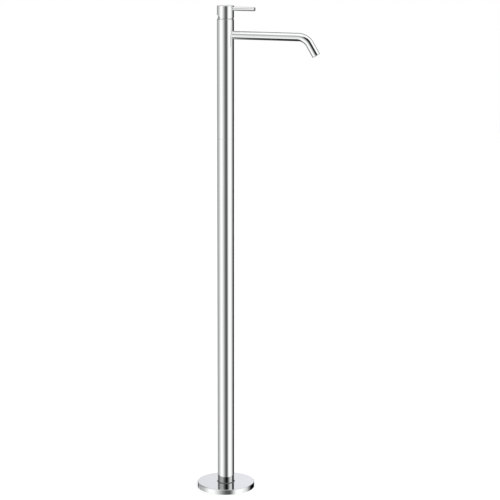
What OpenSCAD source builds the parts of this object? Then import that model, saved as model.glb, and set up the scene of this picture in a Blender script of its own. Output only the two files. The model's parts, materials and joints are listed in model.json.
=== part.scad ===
// Floor-standing basin mixer tap with one lever on a turning, tilting cap.
// Sizes are in millimetres and +Z is up. The origin is the centre of the foot
// on the floor. The spout and the lever point along +X, hot water is at -Y and
// cold water at +Y.

/* [Column] */
// Outer diameter of the column, the mixer body and the cap
column_d = 38; // [37:0.5:42]
// Wall of the column and of the mixer body's shell
column_wall = 1.5; // [1.2:0.1:1.8]
// Height of the seam between the column and the mixer body
seam_z = 821; // [600:1:950]
// Chamfer on both edges at the seam
seam_chamfer = 0.3; // [0.1:0.1:0.6]
// Length of the sleeve that joins the column to the mixer body
coupling_length = 70; // [56:1:100]
// Wall of the joining sleeve
coupling_wall = 2.2; // [2:0.1:2.6]
// Distance from the seam to each grub screw of the sleeve
coupling_screw_offset = 26; // [20:1:26]
// Distance from the seam to each O-ring of the sleeve
coupling_seal_offset = 12; // [8:1:16]
// Diameter of the sleeve's grub screws
coupling_screw_d = 4; // [3:0.5:5]

/* [Foot] */
// Outer diameter of the cover plate
cover_d = 132; // [124:1:160]
// Height of the cover plate
cover_height = 11.6; // [11:0.2:16]
// Wall of the cover plate
cover_wall = 1.5; // [1.2:0.1:2]
// Chamfer on the cover plate's top edge
cover_chamfer = 0.7; // [0.3:0.1:1.2]
// Thickness of the O-ring between the cover plate and the column
cover_seal_d = 1.6; // [1.2:0.1:2]
// Width of the soft sealing strip inside the cover plate's rim
cover_strip_width = 2; // [1:0.5:4]
// Height of the soft sealing strip inside the cover plate's rim
cover_strip_height = 3; // [2:0.5:6]
// Diameter of the floor flange
flange_d = 104; // [100:1:116]
// Thickness of the floor flange
flange_thickness = 5; // [4:0.5:6]
// Height of the flange's spigot inside the column, above the floor
spigot_top = 40; // [30:1:60]
// Wall of the flange's spigot
spigot_wall = 2.4; // [2.2:0.1:2.6]
// Circle of the floor anchors
anchor_circle_d = 84; // [76:1:86]
// Number of floor anchors
anchor_count = 4; // [3:1:6]
// Hole for each floor anchor
anchor_hole_d = 6.6; // [5.5:0.1:8.4]

/* [Water supply] */
// Distance between the hot and the cold supply pipe
pipe_pitch = 15; // [14.6:0.1:15.4]
// Distance of both supply pipes from the column's axis, along X
pipe_x = 4.5; // [4:0.1:5]
// Outer diameter of each supply pipe
pipe_d = 10; // [9.6:0.1:10.4]
// Wall of each supply pipe
pipe_wall = 1; // [0.6:0.1:1.2]
// How far each pipe end goes into its socket, past the nut's thread
pipe_entry = 7; // [4:0.5:12]
// Diameter of each hose port at the foot, inside its thread
port_d = 9; // [8:0.1:9.4]
// Depth of each hose port
port_depth = 9.5; // [8:0.5:9.5]
// Water way inside the inlet block
inlet_way_d = 6; // [4:0.5:7]
// Height of the inlet block's head, which rests on the flange's spigot
inlet_head_height = 8; // [7.5:0.5:14]
// Height of the inlet block's lower face above the floor
inlet_block_z = 0.5; // [0.2:0.1:1]
// Size across flats of the pipe nuts
nut_flats = 14; // [13:0.1:14.2]
// Height of each pipe nut's hexagon
nut_height = 10; // [8:0.5:14]
// Diameter of each pipe nut's thread
nut_thread_d = 12.8; // [12:0.1:13.2]
// Length of each pipe nut's thread
nut_thread_length = 6; // [4:0.5:8]
// Thickness of the two plastic discs that keep the pipes apart
spacer_thickness = 10; // [6:1:20]
// Height of the lower disc
lower_spacer_z = 300; // [100:1:400]
// Height of the upper disc
upper_spacer_z = 560; // [450:1:580]

/* [Mixer body] */
// Length of the mixer body from the seam to the groove under the cap
body_length = 269; // [200:1:320]
// Height of the chamfer on each side of the groove under the cap
groove_chamfer = 1.35; // [1.1:0.05:1.5]
// Length of the valve core inside the mixer body
core_length = 90; // [84:1:110]
// Water way of each inlet inside the core
core_inlet_d = 4; // [3:0.1:4.2]
// Distance of the core's inlet ways from the axis, along X
core_inlet_x = 5; // [4.8:0.1:5.2]
// Distance of the core's inlet ways from the axis, along Y
core_inlet_y = 6.2; // [6.2:0.1:6.6]
// Water way of the mixed water from the cartridge down to the spout
core_outlet_d = 4.8; // [4:0.1:5]
// Diameter of the water way that leads to the spout
core_cross_d = 6.4; // [5:0.1:6.6]

/* [Cartridge] */
// Diameter of the cartridge
cartridge_d = 25; // [24.8:0.1:25.4]
// Wall of the cartridge housing
housing_wall = 1.9; // [1.8:0.1:2]
// Thickness of the cartridge base
base_thickness = 4; // [3.8:0.1:5]
// Thickness of the fixed ceramic disc
fixed_disc_thickness = 3; // [2.5:0.1:4]
// Thickness of the moving ceramic disc
moving_disc_thickness = 2.5; // [2.4:0.1:3]
// Depth of the mixing chamber in the moving disc
chamber_depth = 1.4; // [1:0.1:1.5]
// Diameter of the inlet holes in the fixed disc
disc_inlet_d = 3.4; // [3:0.1:3.4]
// Distance of those holes from the axis, along X
disc_inlet_x = 3.5; // [3.4:0.1:3.6]
// Distance of those holes from the axis, along Y
disc_inlet_y = 4; // [3.9:0.1:4.1]
// Distance of the outlet hole behind the axis
disc_outlet_x = 4; // [3.8:0.1:4.1]
// Distance from the tilt pin down to the ball of the stem
stem_arm = 7.4; // [7.2:0.1:7.8]
// Diameter of the stem's ball
ball_d = 3.6; // [3.2:0.1:3.8]
// Floor of the disc carrier under the stem's ball
carrier_floor = 1; // [1:0.1:1.4]
// Height of the disc carrier
carrier_height = 3.8; // [3.6:0.1:3.9]
// Half width of the disc carrier between the rotor's rails
carrier_half_width = 6.9; // [6.6:0.1:7.2]
// Diameter of the rotor's neck
rotor_neck_d = 18; // [17.4:0.1:18.2]
// Diameter of the tilt pin
tilt_pin_d = 3; // [2.5:0.1:3.2]
// Thickness of the stem's flat part between the rotor's cheeks
stem_thickness = 5; // [4.6:0.1:5.2]
// Width of the square end of the stem
stem_square = 8; // [7:0.1:8.2]
// Diameter of the nut's thread that holds the cartridge down
holding_nut_d = 29.9; // [29.6:0.1:30.2]

/* [Cap and lever] */
// Height of the cap above the groove
cap_height = 28.8; // [28.6:0.2:36]
// Chamfer on the cap's top edge
cap_chamfer = 0.4; // [0.2:0.1:1]
// Height of the lever's axis above the groove
lever_rise = 22.1; // [21.8:0.1:23]
// Diameter of the lever
lever_d = 8.7; // [8:0.1:9]
// Distance from the column's axis to the lever's tip
lever_reach = 68.8; // [50:1:120]
// Chamfer at the lever's tip
lever_chamfer = 0.5; // [0.2:0.1:1]
// Diameter of the lever's thread
lever_thread_d = 6; // [5:0.5:6]
// How far the lever's full diameter goes into the cap
lever_seat_depth = 4.8; // [3:0.1:6]
// Largest tilt of the cap and lever
tilt_max = 25; // [18:1:25]
// Diameter of the grub screw that holds the cap on the stem
cap_screw_d = 5; // [4:0.5:5]
// Length of that grub screw
cap_screw_length = 10; // [6:0.5:11]
// Height of that grub screw above the tilt axis
cap_screw_rise = 15; // [14:0.5:16]
// Diameter of the plug over the grub screw
cap_plug_d = 6; // [5.5:0.1:8]
// Thickness of the plug over the grub screw
cap_plug_thickness = 2.4; // [1.6:0.1:3]

/* [Spout] */
// Outer diameter of the spout
spout_d = 18.5; // [18:0.1:19]
// Wall of the spout
spout_wall = 2; // [1.8:0.1:2.2]
// Distance from the groove under the cap down to the spout's axis
spout_drop = 36.4; // [34:0.1:50]
// Distance from the column's axis to the start of the spout's bend
spout_straight = 169.9; // [80:0.1:260]
// Radius of the spout's bend
spout_bend_r = 30.8; // [20:0.5:60]
// Angle of the spout's bend
spout_bend_angle = 59; // [30:1:85]
// Length of the straight end after the bend
spout_tail = 29; // [20:0.5:60]
// Distance from the column's axis to the spout's end inside the mixer body
spout_seat_x = 14.4; // [14:0.1:14.4]
// Diameter of the thread that holds the spout in the core
nipple_thread_d = 12; // [11:0.1:12.2]
// Length of that thread
nipple_thread_length = 6.3; // [5:0.1:6.4]
// How far the nipple goes into the spout
nipple_grip = 12; // [6:0.5:16]
// Depth of the aerator's recess in the spout's end
aerator_depth = 13; // [11:0.5:16]
// Wall that the aerator's recess leaves at the spout's end
aerator_rim = 1.5; // [1.2:0.1:1.7]
// Wall of the aerator housing
aerator_wall = 1.3; // [1:0.1:1.5]
// How far the aerator sits inside the spout's end
aerator_inset = 0.3; // [0:0.1:1]
// Thickness of the aerator's seal
aerator_seal_thickness = 1; // [0.8:0.1:1.6]
// Thickness of the aerator's outlet grid
grid_thickness = 1.6; // [1:0.1:2.4]
// Hole of the aerator's outlet grid
grid_hole_d = 1.3; // [1:0.05:1.4]
// Distance between the holes of the aerator's outlet grid
grid_pitch = 1.9; // [1.8:0.05:2.2]

/* [Clearances] */
// Radial gap between pieces that are pushed into each other
push_gap = 0.1; // [0.06:0.01:0.15]
// Radial gap between a shaft and the bore that it turns in
running_gap = 0.06; // [0.03:0.01:0.1]
// Gap between a seal and the walls of its groove
seal_gap = 0.05; // [0.02:0.01:0.1]
// Gap between the dome ring and the cap that tilts round it
dome_gap = 0.4; // [0.3:0.05:0.5]
// Height of the cap's lower edge above the groove
skirt_rise = 0.3; // [0.3:0.05:0.4]
// Angle that the cap's bevel adds to the tilt
bevel_margin = 1.5; // [1:0.1:3]

/* [Hidden] */
$fn = 64;

chrome = [0.80, 0.81, 0.83];
brass = [0.80, 0.65, 0.30];
steel = [0.60, 0.61, 0.63];
copper = [0.75, 0.45, 0.30];
rubber = [0.10, 0.10, 0.11];
grey_plastic = [0.35, 0.37, 0.40];
white_plastic = [0.88, 0.88, 0.86];
ceramic = [0.93, 0.91, 0.85];

// How far a cutting body reaches past the face that it opens
over = 1;

// Column and foot
column_r = column_d / 2;
column_bore_r = column_r - column_wall;
sleeve_r = column_bore_r - push_gap;
coupling_bore_r = sleeve_r - coupling_wall;
coupling_bottom = seam_z - coupling_length / 2;
coupling_seal_width = 2.4;
coupling_seal_depth = 1;
spigot_bore_r = sleeve_r - spigot_wall;
hub_top_gap = 0.8;
column_foot_z = cover_height - hub_top_gap;
cover_hole_r = column_r + 3 * push_gap;
cover_seal_r = column_r + seal_gap + cover_seal_d / 2;
cover_seal_seat_r = cover_seal_r + cover_seal_d / 2 + seal_gap;
cover_seal_seat_depth = 0.65;
cover_seal_z = cover_height - cover_seal_seat_depth + seal_gap + cover_seal_d / 2;
cover_collar_wall = 2.5;
cover_collar_height = 2;
cover_bore_r = cover_d / 2 - cover_wall;

// Supply pipes and their nuts
pipe_r = pipe_d / 2;
pipe_socket_r = pipe_r + push_gap / 2;
inlet_block_r = spigot_bore_r - push_gap;
inlet_head_r = column_bore_r - 2 * push_gap;
inlet_block_top = spigot_top + inlet_head_height;
nut_r = nut_flats / 2 / cos(30);
nut_thread_r = nut_thread_d / 2;
nut_seat_r = nut_thread_r + push_gap / 2;
nut_seat_depth = nut_thread_length + 2 * push_gap;
inlet_socket_z = inlet_block_top - nut_seat_depth - pipe_entry;
core_top_gap = 0.6;
groove_z = seam_z + body_length;
core_bottom = groove_z - core_length;
core_top = groove_z - core_top_gap;
core_socket_z = core_bottom + nut_seat_depth + pipe_entry;
pipe_end_gap = 0.3;

// Cartridge, from the tilt pin down
pivot_z = groove_z;
cartridge_r = cartridge_d / 2;
housing_bore_r = cartridge_r - housing_wall;
ball_r = ball_d / 2;
ball_gap = 0.2;
ball_z = pivot_z - stem_arm;
carrier_floor_z = ball_z - ball_r - ball_gap;
carrier_z = carrier_floor_z - carrier_floor;
carrier_top = carrier_z + carrier_height;
moving_disc_z = carrier_z - moving_disc_thickness;
fixed_disc_z = moving_disc_z - fixed_disc_thickness;
base_z = fixed_disc_z - base_thickness;
slider_travel = stem_arm * tilt_max * PI / 180;
disc_wall_gap = 0.4;
slider_x = -slider_travel / 2;
moving_disc_r = housing_bore_r - disc_wall_gap - slider_travel / 2;
fixed_disc_r = housing_bore_r - 2 * push_gap;
disc_outlet_d = core_outlet_d;
chamber_r = 3.4;
chamber_back_r = 3;
chamber_back_x = 3.6;
disc_key_r = 1;
disc_key_height = 2;
disc_key_y = housing_bore_r - disc_key_r - 1.5 * push_gap;
drive_peg_r = 1;
drive_peg_height = 0.8;
drive_peg_y = 5.5;
base_peg_r = 1.2;
base_peg_length = 2;
base_peg_x = -6;
base_peg_y = 8.5;
base_port_depth = 1.8;
base_slot_depth = 1.2;
base_slot_width = disc_inlet_d - 0.8;
port_seal_depth = 0.9;
port_seal_width = 0.9;
port_seal_wall = 0.4;
rotor_z = carrier_top + 0.4;
rotor_r = housing_bore_r - 3 * push_gap;
rotor_neck_r = rotor_neck_d / 2;
rotor_rise = 4;
rotor_top = pivot_z + rotor_rise;
rail_gap = 0.3;
housing_ceiling = pivot_z - 3.8;
housing_shoulder = pivot_z - 3;
housing_neck_wall = 1.74;
housing_neck_bore_r = rotor_neck_r + running_gap;
housing_neck_r = housing_neck_bore_r + housing_neck_wall;
housing_top = pivot_z + 3;
rotor_slot_back = 5.8;
rotor_slot_front = 6.8;
pocket_r = cartridge_r + push_gap;
pin_end_gap = 0.4;
pin_seat_gap = 0.03;

// Stem
stem_shank_half = 1.5;
stem_cheek_half = 3;
stem_cheek_drop = 3.2;
stem_square_rise = 6.8;

// Holding nut and dome ring
holding_nut_r = holding_nut_d / 2;
holding_nut_bottom = pivot_z - 6.8;
holding_nut_rise = 3.5;
holding_seat_r = holding_nut_r + push_gap / 2;
holding_seat_z = holding_nut_bottom - 2 * push_gap;
dome_r = column_r - 1.7;
dome_bore_r = holding_seat_r + 0.3;
dome_rise = 6;
dome_lip_z = pivot_z + 4.2;
dome_lip_r = 12.2;

// Cap and lever
cap_top = groove_z + cap_height;
cavity_r = dome_r + dome_gap;
cavity_rise = 12.8;
cap_boss_r = 7.5;
cap_boss_rise = 8;
lever_z = groove_z + lever_rise;
lever_r = lever_d / 2;
lever_thread_r = lever_thread_d / 2;
lever_seat_x = column_r - lever_seat_depth;
lever_thread_end = 7;
stem_socket_top = lever_z - lever_thread_r - 0.4;
stem_top = stem_socket_top - 2 * push_gap;
cap_screw_z = pivot_z + cap_screw_rise;
cap_screw_r = cap_screw_d / 2 - push_gap / 2;
cap_screw_socket_depth = 3;

// Spout
spout_r = spout_d / 2;
spout_bore_r = spout_r - spout_wall;
spout_z = groove_z - spout_drop;
spout_hole_r = spout_r + push_gap / 2;
// How much the tube draws in at its bend
bend_draw = 0.05;
nipple_r = spout_bore_r - push_gap / 2;
nipple_thread_r = nipple_thread_d / 2;
nipple_bore_r = 3.6;
nipple_seat_x = spout_seat_x - nipple_thread_length;
spout_seal_width = 1.5;
spout_seal_wall = 1.1;
aerator_recess_r = spout_r - aerator_rim;
aerator_r = aerator_recess_r - push_gap / 2;
aerator_bore_r = aerator_r - aerator_wall;
aerator_length = aerator_depth - aerator_inset - aerator_seal_thickness;
aerator_lip = 1;
aerator_lip_width = 0.7;
aerator_insert_r = aerator_bore_r - push_gap / 2;
grid_inset = 0.6;
grid_rings = 2;
insert_hole_d = 1.2;
insert_hole_count = 12;

// A round tube or disc with a hole, standing on z
module ring(outer_r, inner_r, z, height) {
    translate([0, 0, z]) difference() {
        cylinder(r = outer_r, h = height);
        translate([0, 0, -over]) cylinder(r = inner_r, h = height + 2 * over);
    }
}

// A round bar or cutting body along +X, from x to x + length
module bar_x(r, x, length, z) {
    translate([x, 0, z]) rotate([0, 90, 0]) cylinder(r = r, h = length);
}

// An O-ring of round section
module o_ring(centre_r, section_r, z) {
    translate([0, 0, z]) rotate_extrude() translate([centre_r, 0]) circle(r = section_r);
}

// Places its children on the hot and on the cold side
module both_sides(x, y) {
    for (side = [-1, 1]) translate([x, side * y, 0]) children();
}

// A tube that follows the spout's path, from start_x in the mixer body
module spout_path(r, start_x, tail) {
    bar_x(r, start_x, spout_straight - start_x, spout_z);
    translate([spout_straight, 0, spout_z - spout_bend_r]) rotate([90, 0, 0])
        rotate([0, 0, 90 - spout_bend_angle]) rotate_extrude(angle = spout_bend_angle)
            translate([spout_bend_r, 0]) circle(r = r - bend_draw);
    at_outlet() translate([0, 0, spout_tail - tail]) cylinder(r = r, h = tail);
}

// Frame of the spout's outlet: the origin in its end face, +Z back up the spout
module at_outlet() {
    translate([spout_straight + spout_bend_r * sin(spout_bend_angle)
            + spout_tail * cos(spout_bend_angle), 0,
        spout_z - spout_bend_r * (1 - cos(spout_bend_angle))
            - spout_tail * sin(spout_bend_angle)])
        rotate([0, spout_bend_angle - 90, 0]) children();
}

// Hexagonal pipe nut on its thread, with the hexagon from z upwards or, with
// sign -1, downwards
module pipe_nut(z, sign) {
    difference() {
        union() {
            translate([0, 0, sign > 0 ? z : z - nut_height])
                cylinder(r = nut_r, h = nut_height, $fn = 6);
            translate([0, 0, sign > 0 ? z - nut_thread_length : z])
                cylinder(r = nut_thread_r, h = nut_thread_length);
        }
        translate([0, 0, z - nut_height - nut_thread_length - over])
            cylinder(r = pipe_socket_r, h = 2 * (nut_height + nut_thread_length + over));
    }
}

module supply_pipe(side) {
    translate([pipe_x, side * pipe_pitch / 2, 0])
        ring(pipe_r, pipe_r - pipe_wall, inlet_socket_z + pipe_end_gap,
            core_socket_z - inlet_socket_z - 2 * pipe_end_gap);
}

module pipe_spacer(z) {
    color(white_plastic) difference() {
        translate([0, 0, z]) cylinder(r = column_bore_r - 2 * push_gap, h = spacer_thickness);
        both_sides(pipe_x, pipe_pitch / 2) translate([0, 0, z - over])
            cylinder(r = pipe_socket_r, h = spacer_thickness + 2 * over);
    }
}

module floor_flange() {
    color(steel) difference() {
        union() {
            cylinder(d = flange_d, h = flange_thickness);
            cylinder(r = column_r, h = column_foot_z);
            cylinder(r = sleeve_r, h = spigot_top);
        }
        translate([0, 0, -over]) cylinder(r = spigot_bore_r, h = spigot_top + 2 * over);
        for (i = [0 : anchor_count - 1]) rotate([0, 0, (i + 0.5) * 360 / anchor_count])
            translate([anchor_circle_d / 2, 0, -over])
                cylinder(d = anchor_hole_d, h = flange_thickness + 2 * over);
    }
}

module inlet_block() {
    color(brass) difference() {
        union() {
            translate([0, 0, inlet_block_z])
                cylinder(r = inlet_block_r, h = inlet_block_top - inlet_block_z);
            translate([0, 0, spigot_top]) cylinder(r = inlet_head_r, h = inlet_head_height);
        }
        both_sides(pipe_x, pipe_pitch / 2) {
            translate([0, 0, inlet_block_z - over]) cylinder(d = port_d, h = port_depth + over);
            translate([0, 0, inlet_block_z]) cylinder(d = inlet_way_d, h = inlet_block_top);
            translate([0, 0, inlet_socket_z]) cylinder(r = pipe_socket_r, h = inlet_block_top);
            translate([0, 0, inlet_block_top - nut_seat_depth])
                cylinder(r = nut_seat_r, h = nut_seat_depth + over);
        }
    }
}

module cover_plate() {
    color(chrome) difference() {
        rotate_extrude() polygon([
            [0, 0], [cover_d / 2, 0], [cover_d / 2, cover_height - cover_chamfer],
            [cover_d / 2 - cover_chamfer, cover_height], [0, cover_height]]);
        difference() {
            translate([0, 0, -over]) cylinder(r = cover_bore_r, h = cover_height - cover_wall + over);
            translate([0, 0, cover_height - cover_wall - cover_collar_height])
                cylinder(r = cover_hole_r + cover_collar_wall, h = cover_height);
        }
        translate([0, 0, -over]) cylinder(r = cover_hole_r, h = cover_height + 2 * over);
        translate([0, 0, cover_height - cover_seal_seat_depth])
            cylinder(r = cover_seal_seat_r, h = cover_height);
    }
}

module cover_strip() {
    color(rubber) ring(cover_bore_r - seal_gap, cover_bore_r - seal_gap - cover_strip_width,
        0, cover_strip_height);
}

module cover_seal() {
    color(rubber) o_ring(cover_seal_r, cover_seal_d / 2, cover_seal_z);
}

module column_tube() {
    color(chrome) difference() {
        rotate_extrude() polygon([
            [column_bore_r, column_foot_z], [column_r, column_foot_z],
            [column_r, seam_z - seam_chamfer], [column_r - seam_chamfer, seam_z],
            [column_bore_r, seam_z]]);
        bar_x(coupling_screw_d / 2, -column_r - over, column_r, seam_z - coupling_screw_offset);
    }
}

module column_coupling() {
    color(brass) difference() {
        ring(sleeve_r, coupling_bore_r, coupling_bottom, coupling_length);
        for (side = [-1, 1]) {
            ring(sleeve_r + over, sleeve_r - coupling_seal_depth,
                seam_z + side * coupling_seal_offset - coupling_seal_width / 2,
                coupling_seal_width);
            bar_x(coupling_screw_d / 2, -column_r - over, column_r,
                seam_z + side * coupling_screw_offset);
        }
    }
}

module coupling_seals() {
    color(rubber) for (side = [-1, 1])
        ring(column_bore_r - seal_gap, sleeve_r - coupling_seal_depth + seal_gap,
            seam_z + side * coupling_seal_offset - coupling_seal_width / 2 + seal_gap,
            coupling_seal_width - 2 * seal_gap);
}

module coupling_screws() {
    color(steel) for (side = [-1, 1]) difference() {
        bar_x(coupling_screw_d / 2 - push_gap / 2, -column_r + 2 * push_gap,
            column_wall + coupling_wall, seam_z + side * coupling_screw_offset);
        translate([-column_r - over, 0, seam_z + side * coupling_screw_offset])
            rotate([0, 90, 0]) cylinder(d = coupling_screw_d / 2, h = over + column_wall, $fn = 6);
    }
}

module hot_supply_pipe() {
    color(copper) supply_pipe(-1);
}

module cold_supply_pipe() {
    color(copper) supply_pipe(1);
}

module lower_pipe_nuts() {
    color(brass) both_sides(pipe_x, pipe_pitch / 2) pipe_nut(inlet_block_top, 1);
}

module upper_pipe_nuts() {
    color(brass) both_sides(pipe_x, pipe_pitch / 2) pipe_nut(core_bottom, -1);
}

module lower_pipe_spacer() {
    pipe_spacer(lower_spacer_z);
}

module upper_pipe_spacer() {
    pipe_spacer(upper_spacer_z);
}

module body_shell() {
    color(chrome) difference() {
        rotate_extrude() polygon([
            [column_bore_r, seam_z], [column_r - seam_chamfer, seam_z],
            [column_r, seam_z + seam_chamfer], [column_r, groove_z - groove_chamfer],
            [column_r - groove_chamfer, groove_z], [column_bore_r, groove_z]]);
        bar_x(spout_hole_r, 0, column_r + over, spout_z);
        bar_x(coupling_screw_d / 2, -column_r - over, column_r, seam_z + coupling_screw_offset);
    }
}

module valve_core() {
    color(brass) difference() {
        translate([0, 0, core_bottom]) cylinder(r = sleeve_r, h = core_top - core_bottom);
        translate([0, 0, base_z]) cylinder(r = pocket_r, h = core_top);
        translate([0, 0, holding_seat_z]) cylinder(r = holding_seat_r, h = core_top);
        both_sides(pipe_x, pipe_pitch / 2) {
            translate([0, 0, core_bottom - over]) cylinder(r = nut_seat_r, h = nut_seat_depth + over);
            translate([0, 0, core_bottom]) cylinder(r = pipe_socket_r, h = core_socket_z - core_bottom);
        }
        both_sides(core_inlet_x, core_inlet_y) translate([0, 0, core_socket_z - over])
            cylinder(d = core_inlet_d, h = base_z - core_socket_z + 2 * over);
        both_sides(base_peg_x, base_peg_y) translate([0, 0, base_z - base_peg_length - 2 * push_gap])
            cylinder(r = base_peg_r + push_gap, h = base_peg_length + over);
        translate([-disc_outlet_x, 0, spout_z]) cylinder(d = core_outlet_d, h = base_z - spout_z + over);
        bar_x(core_cross_d / 2, -disc_outlet_x - core_cross_d / 2, nipple_seat_x + column_r, spout_z);
        bar_x(nipple_thread_r + push_gap / 2, nipple_seat_x, column_r, spout_z);
        bar_x(nipple_thread_r + spout_seal_wall + seal_gap, spout_seat_x - spout_seal_width,
            column_r, spout_z);
        bar_x(spout_hole_r, spout_seat_x, column_r, spout_z);
    }
}

module dome_ring() {
    color(chrome) difference() {
        union() {
            intersection() {
                translate([0, 0, pivot_z]) sphere(r = dome_r);
                translate([0, 0, groove_z]) cylinder(r = column_r, h = dome_rise);
            }
            translate([0, 0, core_top]) cylinder(r = dome_r, h = core_top_gap);
        }
        translate([0, 0, core_top - over]) cylinder(r = dome_bore_r, h = dome_lip_z - core_top + over);
        translate([0, 0, core_top]) cylinder(r = dome_lip_r, h = dome_rise + column_r);
    }
}

module holding_nut() {
    color(brass) difference() {
        union() {
            translate([0, 0, holding_nut_bottom])
                cylinder(r = holding_nut_r, h = core_top - holding_nut_bottom);
            translate([0, 0, core_top])
                cylinder(r = holding_nut_r, h = holding_nut_rise + core_top_gap, $fn = 6);
        }
        translate([0, 0, holding_nut_bottom - over])
            cylinder(r = pocket_r, h = housing_shoulder - holding_nut_bottom + over);
        translate([0, 0, holding_nut_bottom])
            cylinder(r = housing_neck_r + push_gap, h = cap_height);
    }
}

module cartridge_base() {
    color(grey_plastic) difference() {
        union() {
            translate([0, 0, base_z]) cylinder(r = cartridge_r, h = base_thickness);
            both_sides(base_peg_x, base_peg_y) translate([0, 0, base_z - base_peg_length])
                cylinder(r = base_peg_r, h = base_peg_length + over);
            both_sides(0, disc_key_y) translate([0, 0, fixed_disc_z - over])
                cylinder(r = disc_key_r, h = disc_key_height + over);
        }
        for (side = [-1, 1]) {
            inlet_slot(side);
            translate([core_inlet_x, side * core_inlet_y, base_z - over])
                cylinder(d = core_inlet_d, h = base_port_depth + over);
            translate([disc_inlet_x, side * disc_inlet_y, base_z + base_port_depth])
                cylinder(d = disc_inlet_d, h = base_thickness);
            translate([core_inlet_x, side * core_inlet_y, 0])
                ring(core_inlet_d / 2 + port_seal_wall + port_seal_width + 2 * seal_gap,
                    core_inlet_d / 2 + port_seal_wall, base_z - over, port_seal_depth + over);
        }
        translate([-disc_outlet_x, 0, base_z - over])
            cylinder(d = core_outlet_d, h = base_thickness + 2 * over);
        translate([-disc_outlet_x, 0, 0])
            ring(core_outlet_d / 2 + port_seal_wall + port_seal_width + 2 * seal_gap,
                core_outlet_d / 2 + port_seal_wall, base_z - over, port_seal_depth + over);
    }
}

// The slot in the cartridge base that leads one inlet inwards to its disc hole
module inlet_slot(side) {
    run = [disc_inlet_x - core_inlet_x, side * (disc_inlet_y - core_inlet_y)];
    translate([core_inlet_x, side * core_inlet_y, base_z + base_port_depth - push_gap])
        rotate([0, 0, atan2(run[1], run[0])]) translate([0, -base_slot_width / 2, 0])
            cube([norm(run), base_slot_width, base_slot_depth]);
}

module port_seals() {
    color(rubber) {
        both_sides(core_inlet_x, core_inlet_y) port_seal(core_inlet_d / 2);
        translate([-disc_outlet_x, 0, 0]) port_seal(core_outlet_d / 2);
    }
}

module port_seal(port_r) {
    ring(port_r + port_seal_wall + seal_gap + port_seal_width, port_r + port_seal_wall + seal_gap,
        base_z, port_seal_depth - seal_gap);
}

module cartridge_housing() {
    color(grey_plastic) rotate_extrude() polygon([
        [housing_bore_r, fixed_disc_z], [cartridge_r, fixed_disc_z],
        [cartridge_r, housing_shoulder], [housing_neck_r, housing_shoulder],
        [housing_neck_r, housing_top], [housing_neck_bore_r, housing_top],
        [housing_neck_bore_r, housing_ceiling], [housing_bore_r, housing_ceiling]]);
}

module fixed_disc() {
    color(ceramic) difference() {
        translate([0, 0, fixed_disc_z]) cylinder(r = fixed_disc_r, h = fixed_disc_thickness);
        both_sides(disc_inlet_x, disc_inlet_y) translate([0, 0, fixed_disc_z - over])
            cylinder(d = disc_inlet_d, h = fixed_disc_thickness + 2 * over);
        translate([-disc_outlet_x, 0, fixed_disc_z - over])
            cylinder(d = disc_outlet_d, h = fixed_disc_thickness + 2 * over);
        both_sides(0, disc_key_y) translate([0, 0, fixed_disc_z - over])
            cylinder(r = disc_key_r + push_gap, h = disc_key_height + push_gap + over);
    }
}

module moving_disc() {
    color(ceramic) difference() {
        translate([slider_x, 0, moving_disc_z]) cylinder(r = moving_disc_r, h = moving_disc_thickness);
        translate([0, 0, moving_disc_z - over]) cylinder(r = chamber_r, h = chamber_depth + over);
        translate([-chamber_back_x, 0, moving_disc_z - over])
            cylinder(r = chamber_back_r, h = chamber_depth + over);
        both_sides(slider_x, drive_peg_y) translate([0, 0, carrier_z - drive_peg_height - push_gap])
            cylinder(r = drive_peg_r + push_gap, h = drive_peg_height + over);
    }
}

module disc_carrier() {
    color(white_plastic) difference() {
        union() {
            intersection() {
                translate([slider_x, 0, carrier_z]) cylinder(r = moving_disc_r, h = carrier_height);
                translate([slider_x - moving_disc_r, -carrier_half_width, carrier_z])
                    cube([2 * moving_disc_r, 2 * carrier_half_width, carrier_height]);
            }
            both_sides(slider_x, drive_peg_y) translate([0, 0, carrier_z - drive_peg_height])
                cylinder(r = drive_peg_r, h = drive_peg_height + over);
        }
        translate([-ball_r - ball_gap, -stem_thickness / 2 - push_gap, carrier_floor_z])
            cube([2 * (ball_r + ball_gap), stem_thickness + 2 * push_gap, carrier_height]);
    }
}

module cartridge_rotor() {
    color(white_plastic) difference() {
        union() {
            translate([0, 0, rotor_z]) cylinder(r = rotor_r, h = housing_ceiling - push_gap - rotor_z);
            translate([0, 0, rotor_z]) cylinder(r = rotor_neck_r, h = rotor_top - rotor_z);
            difference() {
                translate([0, 0, carrier_z + rail_gap]) cylinder(r = rotor_r, h = rotor_z - carrier_z);
                translate([-rotor_r, -carrier_half_width - push_gap, carrier_z])
                    cube([2 * rotor_r, 2 * (carrier_half_width + push_gap), rotor_z - carrier_z]);
            }
        }
        translate([-rotor_slot_back, -stem_thickness / 2 - push_gap, rotor_z - over])
            cube([rotor_slot_back + rotor_slot_front, stem_thickness + 2 * push_gap,
                rotor_top - rotor_z + 2 * over]);
        translate([0, rotor_r, pivot_z]) rotate([90, 0, 0])
            cylinder(r = tilt_pin_d / 2 + pin_seat_gap, h = 2 * rotor_r);
    }
}

module tilt_pin() {
    color(steel) translate([0, rotor_neck_r - pin_end_gap, pivot_z]) rotate([90, 0, 0])
        cylinder(d = tilt_pin_d, h = 2 * (rotor_neck_r - pin_end_gap));
}

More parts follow.
